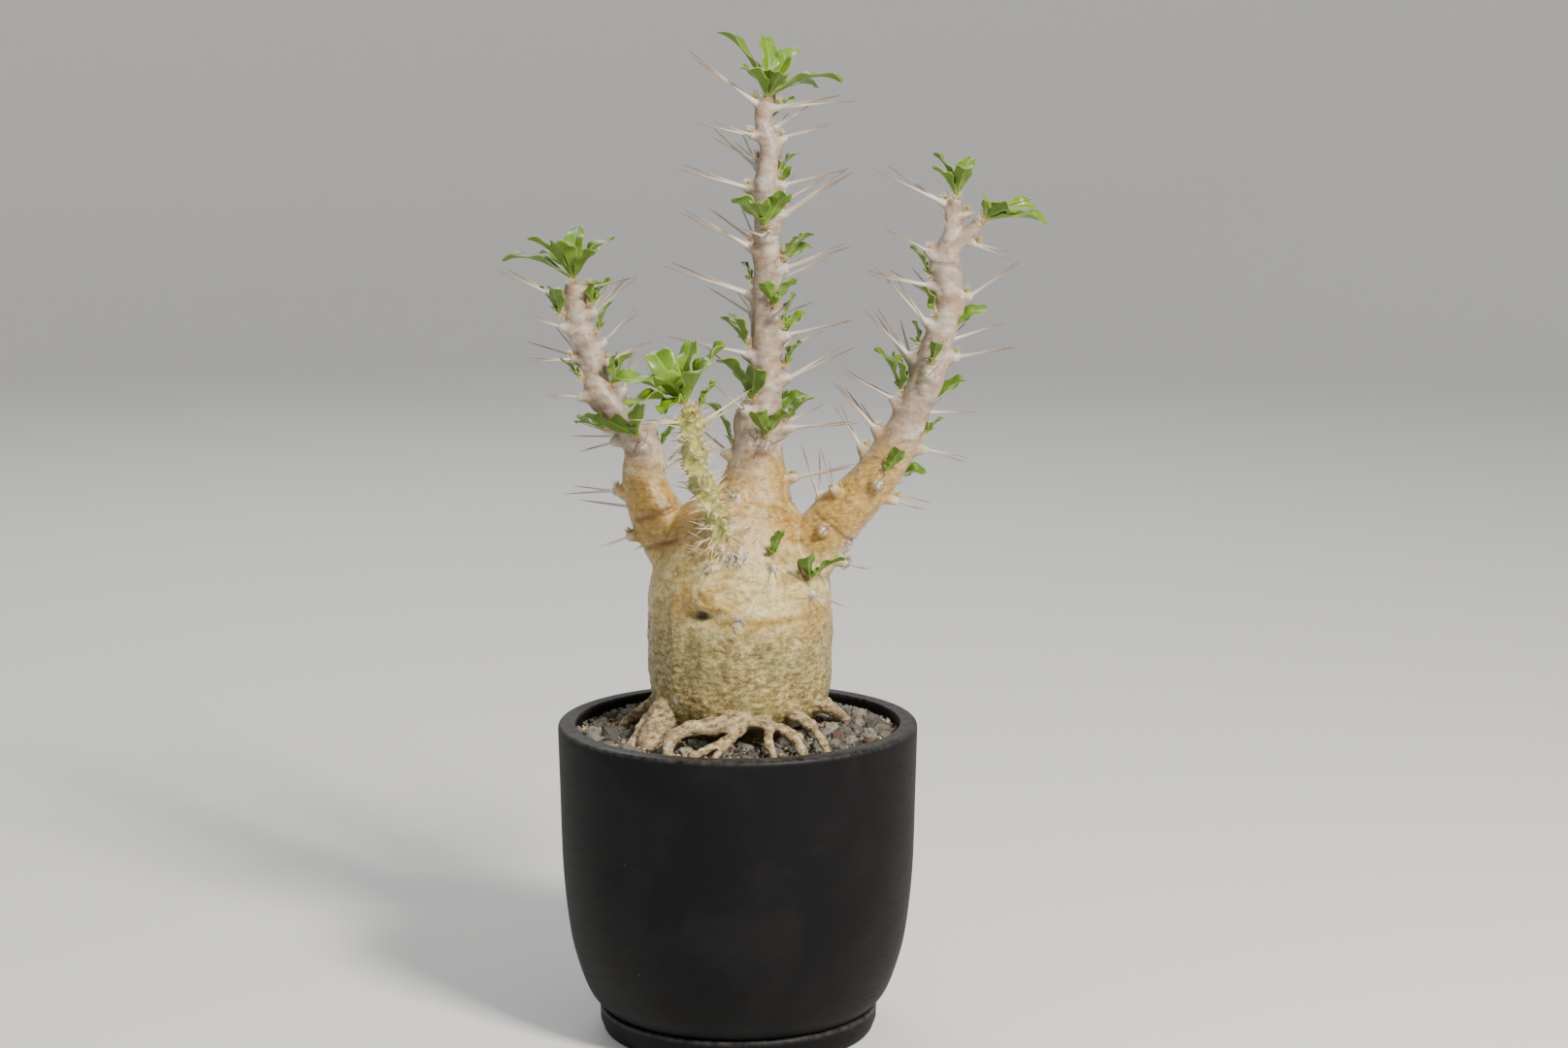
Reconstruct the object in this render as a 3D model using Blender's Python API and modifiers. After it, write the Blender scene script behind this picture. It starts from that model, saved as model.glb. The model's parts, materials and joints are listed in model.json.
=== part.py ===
"""A pachypodium in a round black pot that stands on its saucer.

Metres, +Z up. The origin is on the table under the pot's axis, and the side that is seen first looks along -Y,
with +X to its right. Sizes in the tables below are millimetres, and MM turns them into metres.

One woody body holds the swollen base, the roots, the stems, the tubercles and the spines. Each tuft of leaves is a
body of its own that sits in the axil over a pair of spines. The roots stand in plain holes in the soil.
"""

import math
import random

import bmesh
import bpy
from mathutils import Matrix, Vector
from mathutils.bvhtree import BVHTree

MM = 0.001
SEED = 7
SEAT = 0.3  # clearance between pieces that touch

# Pot and saucer
RIM_RADIUS = 75.0
RIM_HEIGHT = 131.6
LIP_WIDTH = 7.3
FOOT_RADIUS = 45.0
DRAIN_RADIUS = 5.0
POT_FLOOR = 5.5
SAUCER_RADIUS = 58.5
SAUCER_HEIGHT = 11.0
SAUCER_FLOOR = 4.0
SAUCER_WALL = 2.3
TURN_STEPS = 36

# Soil and its stone dressing
SOIL_HEIGHT = 126.0
STONE_COUNT = 100
STONE_RADIUS = (3.2, 5.2)
ROOT_CLEARANCE = 1.0

# Wood, spines and leaves
VOXEL = 1.1
WOOD_TRIANGLES = 3300
SPINE_RADIUS = 0.72
SPINE_SINK = 3.2
SPINE_SPLAY = 17.0
SPINE_ROOM = 1.9
LEAF_THICKNESS = 0.65
CURL = 2.1  # how late along a leaf its tip bends back
BUD_RADIUS = 1.7
LONE_LIFT = 0.35  # how far off its seat a leaf starts that has no bud
STEM_ROOM = 1.3  # how far leaves keep off the stems
BASE_ROOM = 0.5  # and off the swollen base
PUSH = 0.2
PUSHES = 6
LEAST_GAP = 0.12

# x, y, z and radius along each axis, from the ground up
AXES = {
    "caudex": ((1, 0, 131, 24), (1, 0, 135, 33), (1, 0, 143, 37), (1, 0, 160, 38.3), (1, 0, 180, 38.3),
               (1, 0, 194, 36.8), (1, 0, 205, 33), (3, 0, 216, 27), (5, 0, 226, 20)),
    "centre": ((4, 0, 206, 24), (7.3, 0, 231, 14.5), (8.5, 0, 248, 10), (9, 0, 258, 10.4), (12, 0, 271, 6.4),
               (11.8, 0, 295, 6.2), (12.2, 0, 311, 5.7), (12.6, 0, 331, 5.4), (11.8, 0, 352, 5.2),
               (12.6, 0, 360, 4.2), (13.4, 1, 370, 4), (10.6, 2, 379, 3.2), (12.2, 2, 388, 2.8)),
    "left": ((-18, 4, 196, 15), (-31.5, 5, 214, 12), (-38.7, 7, 231, 9.3), (-38.7, 9, 242, 8.8),
             (-44, 11, 252, 6.4), (-57.2, 13, 268, 5.9), (-59.6, 14, 278, 4.5), (-63.9, 15, 291, 5.1),
             (-66.7, 16, 301, 5.2), (-67.6, 16, 313, 3.8)),
    "right": ((17, -3, 193, 17), (32, -4, 207, 13), (42, -5, 219, 11), (56, -6, 234, 9.5), (67, -6, 251, 8.2),
              (73.6, -7, 266, 6.7), (77.5, -8, 276, 7.3), (81.3, -8, 289, 6.4), (86.3, -9, 306, 4.9),
              (85.8, -9, 318, 5.9), (84.9, -10, 326, 5.4), (87.5, -10, 335, 4), (87.5, -10, 342, 3.2),
              (88.6, -10, 349, 2.6)),
    "side": ((86, -10, 329, 3.8), (92, -12, 334, 3), (98.6, -14, 340, 2.6)),
    "young": ((-2, -22, 205, 6), (-7, -28, 213, 4.5), (-6.5, -31, 221, 4), (-10.4, -33, 228, 4),
              (-13.4, -34, 236, 4), (-16.1, -35, 245, 4), (-18, -36, 253, 3.8), (-17.5, -37, 262, 3.6),
              (-19.4, -38, 268, 3.2)),
}

# Roots that show at the front, from the swollen base down into the soil
FRONT_ROOTS = (
    ((9, -28, 140, 5.4), (-2, -38, 139, 5), (-12, -43, 138.5, 4.6), (-22, -44, 137, 4.2), (-27, -46, 133, 3.6),
     (-27.5, -50, 126, 3), (-28, -52, 117, 2.4)),
    ((2, -34, 138, 3.4), (-1, -43, 135, 2.7), (-10, -49, 131.5, 2.4), (-18, -54, 128, 2.1), (-22, -57, 118, 1.8)),
    ((-1, -42, 135, 2.1), (-5, -49, 131, 1.8), (-9, -54, 126.5, 1.7), (-10, -57, 118, 1.6)),
    ((6, -32, 138, 3.6), (15, -37, 137.5, 3.2), (22, -40, 135, 3), (25, -45, 131, 2.7), (28, -49, 126, 2.4),
     (30, -51, 117, 2)),
    ((22, -28, 141, 3.6), (30, -37, 138, 2.8), (35, -43, 132, 2.5), (37, -46, 126, 2.2), (38, -48, 117, 1.8)),
    ((14, -34, 137, 2.6), (13, -45, 133, 2.2), (15, -50, 127, 2), (15, -53, 118, 1.7)),
    ((-24, -14, 142, 10), (-33, -22, 134, 7.6), (-36, -28, 127, 6.2), (-37, -31, 116, 5)),
    ((32, -16, 142, 4), (38, -20, 141, 3.2), (41, -22, 140, 2.4)),
)

# A healed knob on the front, over a fold in the skin
KNOB = ((-6, -24, 191, 7), (-11, -33.5, 189, 5.4), (-13, -37.2, 187.6, 3))

BACK_ROOT_TURNS = (15, 52, 88, 125, 160, 200)
CROWN = ((1, 0, 142, 28), (1, 0, 128, 21), (1, 0, 112, 13))

# Height and turn of each spine pair, the spines' length, and the number and length of the leaves over them.
# A turn of 0 points to +X, 90 to the back and -90 to the front.
PAIRS = {
    "centre": ((387, 188, 34, 0, 0), (387, -4, 30, 0, 0), (376, 204, 21, 0, 0), (372, 8, 21, 0, 0),
               (364, 140, 22, 0, 0), (355, 14, 25, 1, 14), (353, 178, 28, 0, 0), (343, -14, 32, 0, 0),
               (334, -97, 22, 3, 19), (330, 186, 33, 0, 0), (321, -6, 28, 2, 14), (310, 168, 34, 1, 11),
               (302, -62, 25, 2, 14), (293, 2, 28, 1, 15), (286, 194, 33, 2, 17), (276, 5, 28, 2, 12),
               (262, -126, 17, 2, 22), (257, -4, 27, 2, 16), (249, -74, 19, 2, 17), (244, 182, 18, 1, 19),
               (236, -12, 26, 0, 0), (228, -112, 13, 0, 0)),
    "left": ((311, -8, 19, 0, 0), (308, 182, 27, 0, 0), (300, -16, 21, 2, 15), (297, 206, 14, 2, 15),
             (287, 2, 18, 1, 13), (284, 184, 18, 0, 0), (279, 24, 21, 0, 0), (270, 190, 15, 1, 13),
             (264, -14, 18, 2, 17), (253, 196, 14, 2, 15), (250, 12, 11, 1, 11), (245, -86, 12, 2, 17),
             (231, 178, 20, 0, 0), (216, 202, 13, 0, 0)),
    "right": ((347, 172, 29, 0, 0), (344, -10, 28, 0, 0), (327, 190, 20, 0, 0), (315, 182, 26, 1, 13),
              (310, -6, 24, 0, 0), (298, 200, 28, 1, 12), (288, -14, 24, 0, 0), (283, 168, 25, 1, 11),
              (279, -94, 13, 1, 14), (264, 174, 23, 3, 19), (252, -10, 17, 1, 11), (250, 176, 26, 0, 0),
              (241, 172, 20, 0, 0), (235, -84, 11, 1, 14), (234, -16, 13, 0, 0), (225, 214, 18, 0, 0),
              (214, -104, 12, 0, 0), (210, -28, 11, 0, 0)),
    "side": ((335, -4, 17, 0, 0), (332, 160, 9, 0, 0)),
    "caudex": ((205, 178, 11, 0, 0), (203, -66, 10, 1, 13), (190, -40, 16, 2, 18), (202, -108, 9, 0, 0),
               (204, 60, 14, 1, 14), (198, 128, 12, 0, 0)),
}

# The back of each stem, where pairs follow one another up the stem: lowest, step and number
BACK_PAIRS = {"centre": (241, 15, 10), "left": (224, 15, 6), "right": (218, 15, 7)}
BACK_SWING = 38
BACK_SPINE = 26
BACK_LEAF = 15

# Turn, tilt from the stem, length and width of each leaf in the tufts that end the stems
CROWNS = {
    "centre": ((168, 36, 34, 7.5), (118, 20, 27, 7), (58, 18, 25, 7), (-6, 44, 32, 7.5), (-74, 36, 18, 7),
               (-128, 52, 21, 8), (30, 50, 24, 7)),
    "left": ((176, 54, 31, 7), (204, 32, 26, 7), (-112, 26, 22, 8), (84, 22, 26, 7), (16, 34, 24, 8),
             (-42, 40, 20, 7), (132, 46, 24, 7)),
    "right": ((176, 24, 19, 6), (-84, 30, 16, 6), (70, 22, 19, 6), (-150, 42, 16, 6)),
    "side": ((150, 18, 26, 7), (-12, 56, 26, 8), (60, 40, 22, 7), (-82, 44, 16, 6)),
    "young": ((168, 38, 31, 9.5), (-150, 50, 25, 9), (-96, 32, 23, 10), (-40, 44, 26, 10), (8, 46, 28, 9.5),
              (60, 34, 27, 9), (112, 26, 28, 9), (-112, 62, 18, 8)),
}

YOUNG_PAIRS = 17
YOUNG_SPINE = (6, 11)
GOLDEN_TURN = 137.5


def clear_scene():
    for old in list(bpy.data.objects):
        bpy.data.objects.remove(old, do_unlink=True)


def new_collection(name):
    collection = bpy.data.collections.new(name)
    bpy.context.scene.collection.children.link(collection)
    return collection


def material(name, colour, roughness, metallic=0.0):
    made = bpy.data.materials.new(name)
    made.use_nodes = True
    shader = made.node_tree.nodes["Principled BSDF"]
    shader.inputs["Base Color"].default_value = (*colour, 1.0)
    shader.inputs["Roughness"].default_value = roughness
    shader.inputs["Metallic"].default_value = metallic
    made.diffuse_color = (*colour, 1.0)
    return made


def new_object(name, mesh, collection, finish=None):
    made = bpy.data.objects.new(name, mesh)
    collection.objects.link(made)
    if finish:
        made.data.materials.append(finish)
    return made


def applied(source, name):
    """The mesh of an object as its modifiers leave it; the object itself is removed."""
    graph = bpy.context.evaluated_depsgraph_get()
    mesh = bpy.data.meshes.new_from_object(source.evaluated_get(graph))
    mesh.name = name
    bpy.data.objects.remove(source, do_unlink=True)
    return mesh


def largest_piece(mesh):
    """Keeps the largest skin of triangles, so that loose scraps and sealed hollows are gone, also one that pinches."""
    shape = bmesh.new()
    shape.from_mesh(mesh)
    bmesh.ops.triangulate(shape, faces=shape.faces)
    left = set(shape.faces)
    pieces = []
    while left:
        piece = {left.pop()}
        front = list(piece)
        while front:
            for edge in front.pop().edges:
                for face in edge.link_faces if len(edge.link_faces) == 2 else ():
                    if face in left:
                        left.discard(face)
                        piece.add(face)
                        front.append(face)
        pieces.append(piece)
    keep = max(pieces, key=len)
    bmesh.ops.delete(shape, geom=[f for f in shape.faces if f not in keep], context="FACES")
    shape.to_mesh(mesh)
    shape.free()
    return mesh


def spline_between(before, start, end, after, share):
    """One point of the smooth curve that runs through start and end."""
    return 0.5 * (2 * start + (end - before) * share + (2 * before - 5 * start + 4 * end - after) * share ** 2
                  + (3 * start - before - 3 * end + after) * share ** 3)


def smooth(points, cuts=4):
    """The (x, y, z, radius) points with smooth points between them."""
    ends = [Vector(p) for p in (points[0], *points, points[-1])]
    made = []
    for before, start, end, after in zip(ends, ends[1:], ends[2:], ends[3:]):
        made += [spline_between(before, start, end, after, i / cuts) for i in range(cuts)]
    return made + [ends[-1]]


class Axis:
    """A stem's centre line, read by height."""

    def __init__(self, points):
        self.points = smooth(points)

    def at(self, height):
        """Centre, radius, direction and the directions of turn 0 and turn 90 there."""
        above = next((i for i, p in enumerate(self.points) if p.z >= height), len(self.points) - 1)
        above = max(above, 1)
        low, high = self.points[above - 1], self.points[above]
        share = min(max((height - low.z) / max(high.z - low.z, 1e-6), 0.0), 1.0)
        spot = low.lerp(high, share)
        low, high = self.points[max(above - 2, 0)], self.points[min(above + 1, len(self.points) - 1)]
        up = (high - low).to_3d().normalized()
        right = (Vector((1, 0, 0)) - up * up.x).normalized()
        return spot.to_3d(), spot.w, up, right, up.cross(right)

    def outward(self, height, turn):
        """Centre, radius, direction and the outward direction at this turn."""
        centre, radius, up, right, back = self.at(height)
        angle = math.radians(turn)
        return centre, radius, up, right * math.cos(angle) + back * math.sin(angle)


def all_pairs():
    """(stem, height, turn, spine length, leaves, leaf length) of every spine pair."""
    pairs = [(stem, *pair) for stem, rows in PAIRS.items() for pair in rows]
    for stem, (lowest, step, count) in BACK_PAIRS.items():
        for i in range(count):
            turn = 90 + BACK_SWING * (-1) ** i
            pairs.append((stem, lowest + step * i, turn, BACK_SPINE, 2 if i % 2 else 0, BACK_LEAF))
    rng = random.Random(SEED)
    for i in range(YOUNG_PAIRS):
        height = 212 + 53 * i / (YOUNG_PAIRS - 1)
        turn = -90 + GOLDEN_TURN * i
        spine = rng.uniform(*YOUNG_SPINE)
        pairs.append(("young", height, turn, spine, 0, 0))
    pairs.append(("young", 263, 196, 20, 0, 0))
    pairs.append(("young", 262, 4, 24, 1, 13))
    return pairs


def tubercle_size(stem, radius):
    """How far a tubercle stands out, and how long the ridge under it is."""
    if stem == "young":
        return 2.2, 3.0
    if stem == "caudex":
        return 2.6, 5.0
    return 3.4 + 0.12 * radius, 6.0 + 0.5 * radius


def tubercle(axes, stem, height, turn):
    """A blunt cone that leans up and out, and runs down the stem as a low ridge."""
    centre, radius, up, out = axes[stem].outward(height, turn)
    stand, ridge = tubercle_size(stem, radius)
    tip = centre + out * (radius + stand)
    base = centre + out * (radius * 0.62) - up * (stand * 0.5)
    foot = centre + out * (radius * 0.72) - up * ridge
    wide = min(0.5 * radius + 1.1, 4.6)
    return [(*foot, wide * 0.5), (*base, wide), (*base.lerp(tip, 0.55), wide * 0.62), (*tip, 1.35)]


def spine_pair(axes, pair, rng):
    """(root, tip) of the two spines at the end of a tubercle."""
    stem, height, turn, length = pair[:4]
    centre, radius, up, out = axes[stem].outward(height, turn)
    stand, _ = tubercle_size(stem, radius)
    lift = math.radians(-24 if stem == "caudex" else rng.uniform(8, 34))
    side = up.cross(out)
    made = []
    for hand in (-1, 1):
        splay = math.radians(hand * SPINE_SPLAY * rng.uniform(0.6, 1.35))
        aim = out * math.cos(splay) + side * math.sin(splay)
        aim = aim * math.cos(lift) + up * math.sin(lift + math.radians(rng.uniform(-5, 5)))
        aim.normalize()
        tip_of_cone = centre + out * (radius + stand - 0.4) + side * (hand * 0.7)
        made.append((tip_of_cone - aim * SPINE_SINK, tip_of_cone + aim * length * rng.uniform(0.88, 1.06)))
    return made


def root_paths():
    """Every root, the ones at the back spread round the base by turn."""
    paths = [list(path) for path in FRONT_ROOTS]
    rng = random.Random(SEED + 1)
    for turn in BACK_ROOT_TURNS:
        angle = math.radians(turn)
        thick = rng.uniform(4.2, 6.5)
        paths.append([
            (reach * math.cos(angle + bend), reach * math.sin(angle + bend), z, thick * share)
            for reach, bend, z, share in (
                (27, 0, 142, 1.25), (38, 0.05, 136, 0.9), (46, 0.13, 130, 0.72), (51, 0.19, 125, 0.6),
                (54, 0.22, 116, 0.5))
        ])
    return paths


def tubes(name, paths, collection, sides=3):
    """One curve object with a round, closed tube along each (x, y, z, radius) path."""
    curve = bpy.data.curves.new(name, "CURVE")
    curve.dimensions = "3D"
    curve.bevel_depth = MM
    curve.bevel_resolution = sides
    curve.use_fill_caps = True
    for path in paths:
        line = curve.splines.new("POLY")
        line.points.add(len(path) - 1)
        for spot, (x, y, z, radius) in zip(line.points, path):
            spot.co = (x * MM, y * MM, z * MM, 1.0)
            spot.radius = radius
    made = bpy.data.objects.new(name, curve)
    collection.objects.link(made)
    mesh = applied(made, name)
    shape = bmesh.new()
    shape.from_mesh(mesh)
    bmesh.ops.remove_doubles(shape, verts=shape.verts, dist=1e-6)
    shape.to_mesh(mesh)
    shape.free()
    return new_object(name, mesh, collection)


def union_all(name, mesh, members, collection, finish, solver="EXACT"):
    """One body from a mesh and the objects in members, which are then removed."""
    body = new_object(name, mesh, collection)
    join = body.modifiers.new("join", "BOOLEAN")
    join.operation = "UNION"
    join.operand_type = "COLLECTION"
    join.collection = members
    join.solver = solver
    mesh = largest_piece(applied(body, name))
    for member in list(members.objects):
        bpy.data.objects.remove(member, do_unlink=True)
    mesh.materials.clear()
    return new_object(name, mesh, collection, finish)


def cone_between(name, root, tip, radius, collection):
    """A three-sided spine that ends in a point."""
    shape = bmesh.new()
    way = tip - root
    turn = way.to_track_quat("Z", "Y").to_matrix().to_4x4()
    place = Matrix.Translation((root + way / 2) * MM) @ turn
    bmesh.ops.create_cone(shape, cap_ends=True, segments=3, radius1=radius * MM, radius2=0.0,
                          depth=way.length * MM, matrix=place)
    mesh = bpy.data.meshes.new(name)
    shape.to_mesh(mesh)
    shape.free()
    return new_object(name, mesh, collection)


def make_wood(axes, pairs, spines, collection, helpers):
    """Swollen base, roots, stems and tubercles grown together, and then the spines."""
    paths = [axis.points for axis in axes.values()]
    paths += [smooth(path) for path in root_paths()]
    paths += [smooth(CROWN), smooth(KNOB)]
    paths += [tubercle(axes, *pair[:3]) for pair in pairs]
    grown = tubes("wood_tubes", paths, helpers)
    skin = grown.modifiers.new("skin", "REMESH")
    skin.mode = "VOXEL"
    skin.voxel_size = VOXEL * MM
    ease = grown.modifiers.new("ease", "SMOOTH")
    ease.factor = 0.5
    ease.iterations = 3
    core = largest_piece(applied(grown, "wood_core"))
    coarse = new_object("wood_core", core, helpers)
    fewer = coarse.modifiers.new("fewer", "DECIMATE")
    fewer.ratio = WOOD_TRIANGLES / (2 * len(core.polygons))
    core = applied(coarse, "wood_core")
    for i, (root, tip) in enumerate(spines):
        cone_between(f"spine_{i}", root, tip, SPINE_RADIUS, helpers)
    bark = material("bark", (0.55, 0.49, 0.36), 0.75)
    return union_all("woody_body", core, helpers, collection, bark, "MANIFOLD")


def blade_width(share):
    """Half width of a leaf as a share of its widest: a narrow stalk, widest past the middle, a round end."""
    if share < 0.62:
        rise = share / 0.62
        return 0.2 + 0.8 * rise * rise * (3 - 2 * rise)
    return math.sqrt(max(1 - ((share - 0.62) / 0.41) ** 2, 0.0))


def blade_point(share, across, length, width, arch, phase):
    """A point of the waved blade: the stalk starts at the origin and runs along +Y, and +Z faces the stem."""
    steps = 12
    y = z = 0.0
    for i in range(steps):
        angle = arch * (share * (i + 0.5) / steps) ** CURL
        y += math.cos(angle) * length * share / steps
        z -= math.sin(angle) * length * share / steps
    angle = arch * share ** CURL
    half = 0.5 * width * blade_width(share)
    wave = math.sin(2 * math.pi * (2.3 * share + phase) + (0.9 if across > 0 else 0.0))
    lift = abs(across) * (0.34 * half + 0.16 * width * wave * min(1.0, 2.2 * share))
    return Vector((across * half, y + math.sin(angle) * lift, z + math.cos(angle) * lift))


def blade_mesh(name, length, width, arch, phase, place):
    """A thin waved blade, split into triangles alike on both of its faces."""
    rows = 4 if length > 19 else 3
    shape = bmesh.new()
    bmesh.ops.create_grid(shape, x_segments=2, y_segments=rows, size=0.5)
    bmesh.ops.triangulate(shape, faces=shape.faces, quad_method="FIXED")
    for corner in shape.verts:
        spot = blade_point(corner.co.y + 0.5, 2 * corner.co.x, length, width, arch, phase)
        corner.co = place @ (spot * MM)
    mesh = bpy.data.meshes.new(name)
    shape.to_mesh(mesh)
    shape.free()
    return mesh


def blade(name, length, width, arch, phase, place, collection):
    made = new_object(name, blade_mesh(name, length, width, arch, phase, place), collection)
    wall = made.modifiers.new("wall", "SOLIDIFY")
    wall.thickness = LEAF_THICKNESS * MM
    wall.offset = 0.0
    mesh = applied(made, name)
    return new_object(name, mesh, collection)


def facing(aim, towards):
    """The turn that lays a blade along aim with its upper face to towards."""
    normal = (towards - aim * towards.dot(aim)).normalized()
    side = aim.cross(normal)
    return Matrix((side, aim, normal)).transposed().to_4x4()


def gap_to_line(spot, start, end):
    way = end - start
    share = min(max((spot - start).dot(way) / way.length_squared, 0.0), 1.0)
    return (spot - start - way * share).length, share


def is_clear(turn, origin, leaf, blocks, own):
    """True where the blade stays off every spine, stem and leaf that is not of its own tuft."""
    length, width, arch, phase = leaf
    close = [block for block in blocks
             if block[4] != own and gap_to_line(origin, *block[:2])[0] < length + 2 + max(block[2:4])]
    thin = [block for block in close if block[2] < SPINE_ROOM + 0.1]
    for share in (0.1, 0.2, 0.3, 0.42, 0.54, 0.66, 0.78, 0.9, 1.0):
        for across in (-1, -0.5, 0, 0.5, 1):
            spot = origin + turn @ blade_point(share, across, length, width, arch, phase)
            for start, end, near, far, _ in thin if share < 0.25 else close:
                gap, along = gap_to_line(spot, start, end)
                if gap < near + (far - near) * along:
                    return False
    return True


def stem_blocks(axes, pairs, spines):
    """Lines that leaves keep off: (start, end, distance at the start, distance at the end, tuft)."""
    blocks = []
    for stem, axis in axes.items():
        room = BASE_ROOM if stem == "caudex" else STEM_ROOM
        for low, high in zip(axis.points, axis.points[1:]):
            if (high - low).to_3d().length > 1e-6:
                blocks.append((low.to_3d(), high.to_3d(), low.w + room, high.w + room, None))
    for pair in pairs:
        path = tubercle(axes, *pair[:3])
        blocks.append((Vector(path[1][:3]), Vector(path[3][:3]), path[1][3] + 1.0, 2.6, None))
    for root, tip in spines:
        blocks.append((root, tip, SPINE_ROOM, 0.8 * SPINE_ROOM, None))
    return blocks


TRIES = ((0, 0, 1), (18, 0, 1), (-18, 0, 1), (0, 14, 1), (34, 8, 0.95), (-34, 8, 0.95), (0, -14, 0.9),
         (24, -12, 0.85), (-24, -12, 0.85), (50, 10, 0.8), (-50, 10, 0.8), (0, 0, 0.7), (30, 0, 0.65),
         (-30, 0, 0.65))


def fit_leaf(origin, axis, side, wanted, towards, leaf, blocks, own):
    """Turns, tilts and at last shortens a leaf until it crosses nothing; None where it never fits."""
    turn, tilt = wanted
    length, width, arch, phase = leaf
    for more_turn, more_tilt, size in TRIES:
        swing = Matrix.Rotation(math.radians(turn + more_turn), 3, axis)
        lean = math.radians(tilt + more_tilt)
        aim = (axis * math.cos(lean) + (swing @ side) * math.sin(lean)).normalized()
        place = facing(aim, towards or axis)
        tried = (length * size, width * size, arch, phase)
        if is_clear(place.to_3x3(), origin, tried, blocks, own):
            return place, tried
    return None


def fan(count):
    """Turn and tilt of the leaves in a small side tuft."""
    return {1: ((0, 6),), 2: ((64, 30), (-70, 34)), 3: ((82, 40), (-82, 42), (0, 22))}[count]


def side_tuft(axes, pair, rng):
    """Seat, axis and leaves of the tuft in the axil over a spine pair."""
    stem, height, turn, _, count, size = pair
    lift, lean = (5.2, 24) if stem == "caudex" else (4.2, 0)
    centre, radius, up, out = axes[stem].outward(height + lift, turn)
    tilt = math.radians(rng.uniform(50, 64) - lean)
    axis = (out * math.cos(tilt) + up * math.sin(tilt) + Vector((0, 0, 0.25))).normalized()
    towards = (up - out * 0.7).normalized()
    side = (out - axis * out.dot(axis)).normalized()
    leaves = []
    for leaf_turn, leaf_tilt in fan(count):
        length = size * rng.uniform(0.86, 1.1)
        width = length * rng.uniform(0.34, 0.42)
        leaves.append(((leaf_turn + rng.uniform(-14, 14), leaf_tilt + rng.uniform(-6, 6)),
                       (length, width, math.radians(rng.uniform(40, 85)), rng.random())))
    return centre, radius, out, axis, side, towards, leaves


def end_tuft(axes, stem, rng):
    """Seat, axis and leaves of the tuft that ends a stem."""
    top = axes[stem].points[-1]
    centre, _, up, right, _ = axes[stem].at(top.z - 0.5)
    leaves = []
    for turn, tilt, length, width in CROWNS[stem]:
        leaves.append(((turn, tilt), (length, width, math.radians(rng.uniform(45, 85)), rng.random())))
    return centre, 0.0, up, up, right, None, leaves


def seat_on(surface, centre, out, reach):
    """Where the line from outside towards the stem first meets the wood."""
    hit = surface.ray_cast((centre + out * reach) * MM, -out)
    return hit[0] / MM


def clear_of_wood(tuft, surface, out):
    """Moves a tuft off its seat by as little as takes it out of the wood."""
    for _ in range(PUSHES):
        shape = bmesh.new()
        shape.from_mesh(tuft.data)
        crossing = surface.overlap(BVHTree.FromBMesh(shape))
        gap = min(surface.find_nearest(corner.co)[3] for corner in shape.verts)
        shape.free()
        if not crossing and gap > LEAST_GAP * MM:
            return
        tuft.data.transform(Matrix.Translation(out * PUSH * MM))


def lone_leaf(name, helpers, collection, finish):
    """A tuft of one leaf needs no bud to hold it together."""
    leaf = helpers.objects[0]
    mesh = leaf.data
    bpy.data.objects.remove(leaf, do_unlink=True)
    return new_object(name, mesh, collection, finish)


def make_tuft(name, seat, plan, blocks, collection, helpers, finish):
    """A small bud with its leaves rooted in it."""
    _, _, out, axis, side, towards, leaves = plan
    origin = seat + out * (SEAT + (LONE_LIFT if len(leaves) == 1 else BUD_RADIUS))
    count = 0
    for i, (wanted, leaf) in enumerate(leaves):
        found = fit_leaf(origin, axis, side, wanted, towards, leaf, blocks, name)
        if found is None:
            continue
        place, leaf = found
        start = Matrix.Translation((origin + place.to_3x3() @ Vector((0, BUD_RADIUS * 0.3, 0))) * MM) @ place
        blade(f"blade_{i}", *leaf, start, helpers)
        spots = [origin + place.to_3x3() @ blade_point(s, 0, *leaf) for s in (0.2, 0.6, 1.0)]
        near = leaf[1] * 0.5 + 1.2
        blocks.append((spots[0], spots[1], near, near, name))
        blocks.append((spots[1], spots[2], near, near, name))
        count += 1
    if not count:
        return None
    if count == 1:
        return lone_leaf(name, helpers, collection, finish)
    bud = bmesh.new()
    place = Matrix.Translation(origin * MM)
    bmesh.ops.create_uvsphere(bud, u_segments=4, v_segments=2, radius=BUD_RADIUS * MM, matrix=place)
    mesh = bpy.data.meshes.new(name)
    bud.to_mesh(mesh)
    bud.free()
    return union_all(name, mesh, helpers, collection, finish, "MANIFOLD")


def make_leaves(axes, pairs, spines, wood, collection, helpers):
    """Every tuft, the stem ends first, because they have the least room to give."""
    shape = bmesh.new()
    shape.from_mesh(wood.data)
    surface = BVHTree.FromBMesh(shape)
    blocks = stem_blocks(axes, pairs, spines)
    rng = random.Random(SEED + 2)
    plans = [(f"leaves_{stem}_top", end_tuft(axes, stem, rng)) for stem in CROWNS]
    numbers = {}
    for pair in pairs:
        if pair[4]:
            numbers[pair[0]] = numbers.get(pair[0], 0) + 1
            plans.append((f"leaves_{pair[0]}_{numbers[pair[0]]:02d}", side_tuft(axes, pair, rng)))
    for name, plan in plans:
        centre, radius, out = plan[:3]
        seat = seat_on(surface, centre, out, radius + 14)
        green = material(name, (0.24, 0.46, 0.07), 0.35)
        tuft = make_tuft(name, seat, plan, blocks, collection, helpers, green)
        if tuft:
            clear_of_wood(tuft, surface, out)
    shape.free()


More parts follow.
